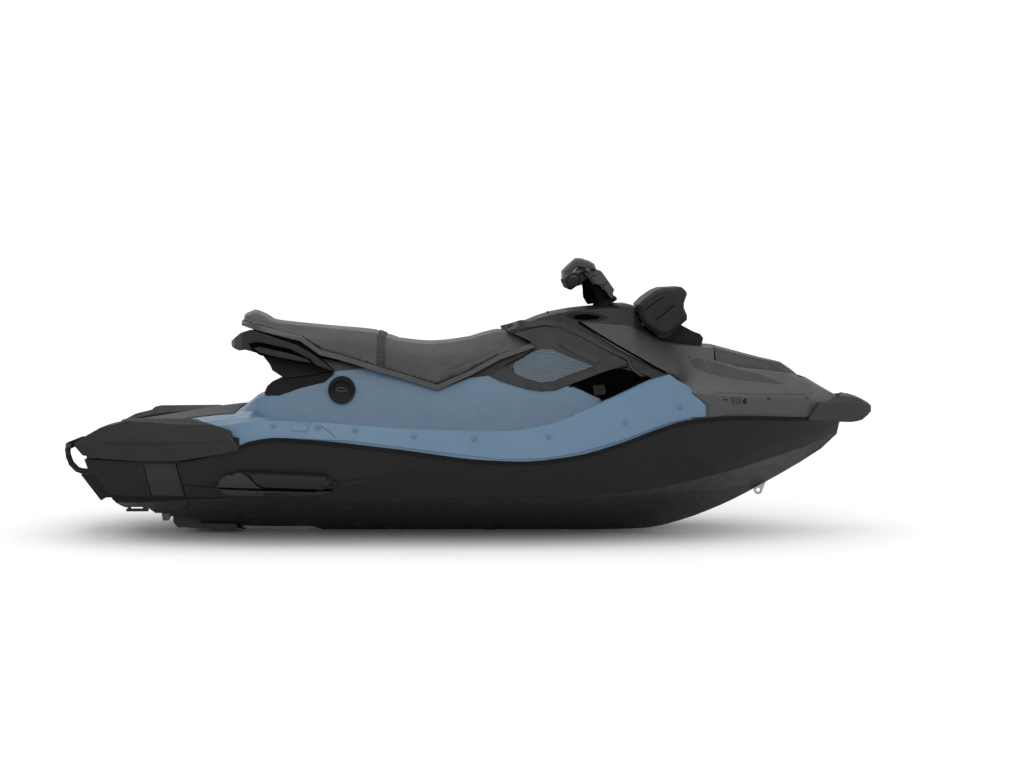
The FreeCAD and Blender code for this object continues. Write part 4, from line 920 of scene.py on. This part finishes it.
def make_bar_ends():
    """A cap on each end of the handlebar, and a flange at the inner end of each grip."""
    for name, look, (x, y, z), profile in (
        ("bar_end_caps", BLACK, (-60, 393, 145),
         [(17.2, -4), (18.2, -2), (18.2, 3), (15.5, 6), (9, 7), (8, 5), (0, 5)]),
        ("grip_flanges", GRIP, (-52, 272, 150),
         [(12, -3), (21, -3), (23, -1), (23, 2), (20, 4), (12, 4)]),
    ):
        mesh = bmesh.new()
        for side in BOTH:
            lathe(mesh, profile, steered(x, side * y, z), Vector((0, side, 0)), 28)
        piece_from(name, mesh, look, "steering", outward=True, sharp=True)


make_bar_ends()

# Console, knee pads, instrument pod and the fittings ahead of the footwells

slab("gauge_pod", [
    (493, 886), (508, 894), (544, 896), (579, 888), (607, 878), (619, 855), (591, 835), (520, 870)
], [(-86, 0.55), (-74, 0.85), (-40, 1.0), (40, 1.0), (74, 0.85), (86, 0.55)], FRAME)
side_pad("knee_inset", [
    (114, 654), (126, 669), (180, 702), (224, 717), (265, 717), (335, 686), (424, 652), (366, 632),
    (304, 609), (269, 594), (223, 590), (165, 605), (122, 623)
], KNEE_TREE, RIBBED, lift=2.4, edge=4.0, pitch=8.0)
side_pad("knee_bar", [(292, 740), (304, 742), (385, 713), (454, 675), (439, 663), (362, 696)],
         KNEE_TREE, FRAME, lift=3.6, edge=5.0, pitch=8.0)
side_pad("console_rail", [
    (64, 804), (141, 824), (238, 831), (304, 824), (373, 793), (466, 742), (574, 681), (566, 671),
    (451, 727), (373, 769), (300, 802), (238, 810), (141, 798), (76, 781)
], KNEE_TREE, FRAME, lift=4.0, edge=4.0)
# The scoop on the console's shoulder is two thin dark sheets, black and near black: painted shade of the
# hollow.
side_pad("console_scoop", [
    (320, 848), (339, 857), (374, 860), (421, 859), (459, 851), (486, 838), (467, 829), (421, 824),
    (374, 825), (339, 833)
], KNEE_TREE, BLACK, lift=0.6, edge=5.0)
side_pad("console_scoop_deep", [
    (347, 842), (362, 849), (405, 852), (452, 845), (444, 834), (397, 830), (362, 832)
], KNEE_TREE, PAINTED_SHADE, lift=1.6, edge=3.0, pitch=10.0)
# A near black sheet at the foot end of the console, where the wall lies in shadow: painted shadow.
side_pad("foot_end_painted_shadow", [
    (335, 585), (408, 621), (492, 644), (552, 640), (617, 621), (674, 602), (598, 560), (469, 522), (408, 547)
], FOOT_TREE, PAINTED_SHADE, lift=4.0, edge=4.0, pitch=7.0)
side_pad("foot_latch", [(423, 579), (465, 583), (472, 567), (469, 545), (427, 541)],
         FOOT_TREE, BLACK, lift=16.0, edge=5.0, pitch=8.0)
side_lines("console_gaps", SEAM, [
    ([(332, 572), (372, 592), (490, 632), (559, 650)], FOOT_TREE, 3.0, 0.0),
    ([(369, 822), (450, 773), (527, 727), (604, 684), (662, 650), (731, 616)], COWL_TREE, 4.4, 0.0),
    ([(114, 779), (180, 798), (238, 808), (300, 803), (366, 772), (451, 727),
      (559, 671)], KNEE_TREE, 2.0, 0.0),
    ([(110, 777), (141, 754), (203, 723), (165, 696), (83, 654)], KNEE_TREE, 2.2, 0.0),
])
slab("seat_nose_filler", [(132, 754), (156, 758), (189, 748), (205, 731), (198, 719), (170, 729)],
     [(-70, 0.7), (-66, 1.0), (66, 1.0), (70, 0.7)], FRAME, bevel=1.5)


def make_tie_brackets():
    """Bent tube on each side that holds the foot end of the console to the cowl."""
    mesh = bmesh.new()
    bends = [(563, 676), (570, 649), (589, 622), (605, 615), (620, 611)]
    flat_line = [(p.x, p.z) for p in smooth_line([(x, 0, z) for x, z in bends], 6.0)]
    for side in BOTH:
        sweep(mesh, eased(draped(flat_line, FOOT_TREE, side, 5), 12), 8, 10, 0.6)
    piece_from("tie_brackets", mesh, BLACK_SOFT, outward=True)


make_tie_brackets()

# Speaker

side_pad("speaker_shell", [
    (608, 886), (650, 913), (712, 942), (754, 953), (781, 942), (777, 909), (768, 894), (769, 870),
    (783, 840), (766, 816), (712, 766), (677, 764), (635, 805), (615, 840)
], SPEAKER_TREE, SPEAKER, lift=5.0, edge=14.0, pitch=10.0)
side_pad("speaker_rib", [(646, 847), (661, 867), (727, 921), (738, 915), (727, 897), (665, 840)],
         SPEAKER_TREE, SPEAKER, lift=9.0, edge=4.0, pitch=8.0)
side_lines("speaker_grooves", SEAM, [
    ([(615, 867), (661, 901), (696, 921)], SPEAKER_TREE, 1.6, 6.0),
    ([(665, 832), (734, 888)], SPEAKER_TREE, 1.6, 6.0),
])

# Cowl and hood

cowl_skin = side_pad("cowl_skin", [
    (381, 824), (446, 817), (572, 807), (629, 779), (690, 750), (767, 706), (873, 681), (988, 649),
    (1114, 634), (1209, 620), (1255, 597), (1308, 561), (1278, 515), (1243, 468), (1056, 477), (961, 481),
    (852, 470), (852, 517), (789, 563), (728, 617), (656, 655), (599, 687), (522, 731), (446, 777)
], COWL_TREE, GREY, lift=2.5, edge=4.0, pitch=12.0, ease=60)
SKIN_TREE = tree_from(cowl_skin.data)
# A darker grey sheet laid in the valley beside the hood: painted shade.
side_pad("cowl_valley_painted_shade", [
    (789, 695), (884, 670), (987, 640), (1074, 619), (1174, 580), (1094, 590), (979, 603), (873, 625),
    (808, 651)
], SKIN_TREE, VALLEY, lift=0.5, edge=2.0, pitch=12.0)
side_pad("cowl_blade", [
    (885, 563), (1052, 571), (1185, 565), (1288, 552), (1250, 543), (1166, 548), (995, 554)
], SKIN_TREE, GREY, lift=2.5, edge=8.0)
for name, outline in (
    ("cowl_slots", [(907, 543), (928, 541), (926, 532), (907, 533)]),
    ("cowl_slots_mid", [(1084, 540), (1101, 538), (1099, 528), (1084, 530)]),
    ("cowl_slots_fore", [(1243, 535), (1261, 531), (1259, 522), (1243, 524)]),
):
    side_pad(name, outline, SKIN_TREE, BLACK, lift=0.6, edge=1.5)
side_pad("cowl_boss", [(945, 545), (983, 545), (980, 520), (949, 518)],
         SKIN_TREE, VALLEY, lift=4.0, edge=2.0, pitch=8.0)
side_pad("cowl_boss_slot", [(987, 543), (1002, 539), (1000, 516), (987, 518)],
         SKIN_TREE, BLACK, lift=0.6, edge=1.5)
side_pad("hood_inset", [(990, 650), (1006, 658), (1149, 657), (1203, 623), (1079, 631)],
         HOOD_TREE, VALLEY, lift=0.8, edge=3.0, body="front_lid")

# Cowl behind the seat, and the handle

side_pad("tail_corner", [(-622, 681), (-591, 676), (-455, 644), (-575, 633)],
         TAIL_TREE, FRAME, lift=1.5, edge=1.5, pitch=8.0)
side_lines("tail_gaps", SEAM, [
    ([(-630, 686), (-591, 679), (-451, 645)], TAIL_TREE, 2.6, 0.0),
    ([(-773, 605), (-711, 611), (-672, 616), (-626, 624), (-591, 633)], TAIL_TREE, 1.8, 0.0),
])
# Near black in the slot under the handle: painted shade.
side_pad("handle_slot_shade", [
    (-903, 743), (-858, 747), (-742, 722), (-665, 683), (-641, 658), (-711, 670), (-858, 697), (-889, 716)
], HANDLE_TREE, PAINTED_SHADE, lift=4.0, edge=3.0, pitch=6.0)
side_pad("handle_bar", [
    (-882, 725), (-858, 730), (-750, 706), (-676, 683), (-661, 669), (-711, 676), (-789, 691), (-858, 707)
], HANDLE_TREE, BUMPER, lift=11.0, edge=5.0, pitch=6.0)

# Sides: bolts, a moulded boss and a seam


def make_bolts():
    """Round bolt heads along both sides, square to the surface."""
    places = [(-773, 450), (-607, 445), (-470, 435), (-251, 412), (-30, 401), (247, 410), (529, 462),
              (736, 515)]
    profile = [(11.5, -2), (11.5, 1.2), (10.5, 2.2), (9.0, 2.4), (8.4, 5.2), (6.0, 7.2), (3.6, 7.6),
               (3.4, 5.4), (0, 5.4)]
    mesh = bmesh.new()
    for side in BOTH:
        for x, z in places:
            place, normal = side_hit(UPPER_TREE, x * MM, (z - DRAFT) * MM, side)
            if place is not None:
                lathe(mesh, profile, place, -normal if normal.y * side < 0 else normal, 20)
    piece_from("side_bolts", mesh, PANEL, outward=True)


make_bolts()
side_pad("side_boss", [(-703, 456), (-651, 454), (-647, 430), (-707, 432)],
         UPPER_TREE, PANEL, lift=4.5, edge=2.5, pitch=8.0)
side_lines("side_seams", PANEL_GAP, [
    ([(-607, 454), (-577, 435), (-551, 415), (-533, 395), (-522, 374)], PANEL_TREE, 1.0, 0.0),
], curved=True)

# Hull: stern plates, fins, seams, and the soft ridge that runs from each fin up to the bond

side_pad("stern_plate", [(-1263, 301), (-1142, 305), (-1116, 182), (-1237, 182)],
         HULL_TREE, STERN_GREY, lift=1.6, edge=3.0)
side_pad("fin_block", [
    (-983, 221), (-968, 256), (-927, 271), (-894, 277), (-872, 267), (-831, 225), (-816, 217), (-898, 218)
], SPONSON_TREE, FIN, lift=9.0, edge=7.0, pitch=9.0)
side_pad("fin_body", [(-861, 273), (-571, 262), (-533, 230), (-557, 212), (-809, 221), (-835, 236)],
         SPONSON_TREE, FIN_DARK, lift=4.0, edge=5.0)
side_pad("fin_foot", [(-983, 213), (-861, 208), (-564, 201), (-609, 189), (-953, 182), (-972, 197)],
         SPONSON_TREE, FIN, lift=7.0, edge=5.0, pitch=9.0)
side_lines("hull_gaps", SEAM, [
    ([(-1140, 307), (-1132, 279), (-1117, 223), (-1110, 178), (-1108, 133)], HULL_TREE, 1.6, 0.0),
    ([(-1267, 305), (-1241, 178)], HULL_TREE, 1.0, 0.0),
    ([(-1105, 225), (-1046, 219), (-987, 216)], HULL_TREE, 1.2, 0.0),
    ([(-994, 217), (-898, 215), (-816, 212), (-675, 208), (-557, 206)], SPONSON_TREE, 2.2, 3.0),
    ([(-875, 269), (-853, 247), (-831, 225), (-809, 219), (-557, 209)], SPONSON_TREE, 2.2, 4.0),
])
side_lines("hull_ridges", HULL, [
    ([(-534, 227), (-482, 234), (-419, 247), (-323, 299), (-249, 327), (-171, 336)], HULL_TREE, 7.0, -4.5),
], curved=True, segments=12)
side_pad("plate_strip", [(-1153, 65), (-1005, 65), (-996, 53), (-1153, 53)],
         PLATE_TREE, PAD, lift=1.0, edge=1.5)

# Folding step

STEP_PIN = (-1425, 190, 262)
TREAD_RIBS = 56
TREAD_WIDTH = 300


def make_step():
    """Folding step: one bent bar with a ribbed rubber tread and an eye at each end."""
    mesh = bmesh.new()
    bends = [STEP_PIN, (-1480, 190, 252), (-1534, 190, 247), (-1570, 190, 255), (-1592, 190, 278),
             (-1603, 189, 306), (-1607, 182, 330), (-1608, 160, 342), (-1608, 80, 344), (-1608, 0, 344)]
    half = smooth_line(bends, 12.0)
    whole = half + [Vector((p.x, -p.y, p.z)) for p in reversed(half[:-1])]
    sweep(mesh, [at(*p) for p in whole], 11.5, 14)
    eye = [(8.2, -12), (16, -12), (18, -10), (18, 10), (16, 12), (8.2, 12)]
    for side in BOTH:
        lathe(mesh, eye, at(STEP_PIN[0], side * STEP_PIN[1], STEP_PIN[2]), Vector((0, 1, 0)), 24)
    bar = piece_from("step_bar", mesh, COATED, "step", outward=True, sharp=True)
    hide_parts("boarding_step")
    rib = [(11, -2.6), (13.6, -1.6), (14.2, 0), (13.6, 1.6), (11, 2.6)]
    tread = bmesh.new()
    for i in range(TREAD_RIBS):
        y = -TREAD_WIDTH / 2 + TREAD_WIDTH * i / (TREAD_RIBS - 1)
        lathe(tread, rib, at(-1608, y, 344), Vector((0, 1, 0)), 18)
    piece_from("step_tread", tread, RUBBER, "step", outward=True)


make_step()

# Anode block under each stern wing

slab("anodes", [(-1209, 110), (-1177, 112), (-1176, 95), (-1183, 82), (-1204, 82)],
     [(404, 0.8), (408, 1.0), (430, 1.0), (434, 0.8)], ZINC, bevel=2.0, mirror=True)

# Fuel cap

CAP_PLACE = (-546, 563)
CAP_RIBS = 24
RIM_RADIUS = 43.4


def make_cap():
    """Screw cap with a sunk hand grip and a ribbed rim, in a flanged ring on the starboard side."""
    centre = draped([CAP_PLACE], CAP_TREE, -1, 0.0)[0]
    mesh = bmesh.new()
    lathe(mesh, [(0, 2.4), (24, 2.4), (30, 3.0), (33, 5.0), (36, 6.4), (41, 6.6), (43, 5.6), (43.5, 3.0),
                 (45, 2.4), (49, 2.4), (51.4, 1.2), (51.6, -3)], centre, Vector((0, -1, 0)), 56)
    piece_from("fuel_cap_top", mesh, BLACK, outward=True, sharp=True)
    grip = bmesh.new()
    for row, half, radius, bow in ((7, 21, 3.2, -4.0), (-6, 24, 3.6, 4.0)):
        sweep(grip, [centre + Vector((t * half, -3.0, row + bow * t * t)) * MM
                     for t in [k / 8 for k in range(-8, 9)]], radius, 10)
    piece_from("fuel_cap_grip", grip, BLACK_SOFT, outward=True)
    ribs = bmesh.new()
    for k in range(CAP_RIBS):
        a = 2 * math.pi * k / CAP_RIBS
        place = centre + Vector((math.cos(a) * RIM_RADIUS, -4.6, math.sin(a) * RIM_RADIUS)) * MM
        sweep(ribs, [place + Vector((0, 2.0 * MM, 0)), place + Vector((0, -1.8 * MM, 0))], 1.2, 6)
    piece_from("fuel_cap_ribs", ribs, BLACK)


make_cap()

# Grooves moulded along the stern bumpers

side_lines("bumper_grooves", BUMPER, [
    ([(-1466, 385), (-1399, 379), (-1286, 377), (-1155, 381), (-1042, 387),
      (-956, 396)], BUMPER_TREE, 1.3, 0.0),
], curved=True)

# Stage

FLOOR_GAP = 0.002
FLOOR_SIZE = 90
# The floor's painted glow rises from nothing to this, between these shares of this distance from the middle,
# so the floor near the craft is painted darker round its shadow.
GLOW, GLOW_START, GLOW_END, GLOW_REACH = 0.14, 0.38, 0.75, 4.0
LAMP_TARGET = (0.1, 0, 0.2)
WORLD_STRENGTH = 1.06


def make_floor():
    """Pale floor with painted light: it glows more the further it is from the craft, which paints the floor
    near the craft darker round its shadow.
    """
    bpy.ops.mesh.primitive_plane_add(size=FLOOR_SIZE, location=(0, 0, -DRAFT * MM - FLOOR_GAP))
    floor = bpy.context.object
    floor.name = "floor"
    g = Graph("floor")
    g.surface(g.ramp(g.noise(1.5), 0.88, 0.90), 0.9, 0.1)
    reach = g.node("ShaderNodeVectorMath", operation="LENGTH")
    g.link(g.coords.outputs["Object"], reach.inputs[0])
    share = g.math("MULTIPLY", reach.outputs["Value"], 1 / GLOW_REACH)
    glow = g.ramp(share, 0.0, GLOW, GLOW_START, GLOW_END)
    g.feed(g.shader.inputs["Emission Color"], (1, 1, 1))
    g.feed(g.shader.inputs["Emission Strength"], glow)
    floor.data.materials.append(g.mat)


def make_light():
    """White surroundings, and two wide soft lamps."""
    world = bpy.data.worlds.new("studio")
    world.use_nodes = True
    background = world.node_tree.nodes["Background"]
    background.inputs["Color"].default_value = (1, 1, 1, 1)
    background.inputs["Strength"].default_value = WORLD_STRENGTH
    bpy.context.scene.world = world
    for name, place, size, power in (
        ("top", (0.2, -0.4, 4.2), (5.0, 2.6), 22.0),
        ("front", (-0.6, -6.0, 3.0), (5.0, 2.4), 85.0),
    ):
        data = bpy.data.lights.new(name, "AREA")
        data.shape = "RECTANGLE"
        data.size, data.size_y = size
        data.energy = power
        lamp = bpy.data.objects.new(name, data)
        lamp.location = place
        lamp.rotation_euler = (Vector(LAMP_TARGET) - lamp.location).to_track_quat("-Z", "Y").to_euler()
        bpy.context.scene.collection.objects.link(lamp)


make_floor()
make_light()
bpy.context.scene.view_settings.view_transform = "Standard"
bpy.context.scene.view_settings.look = "None"
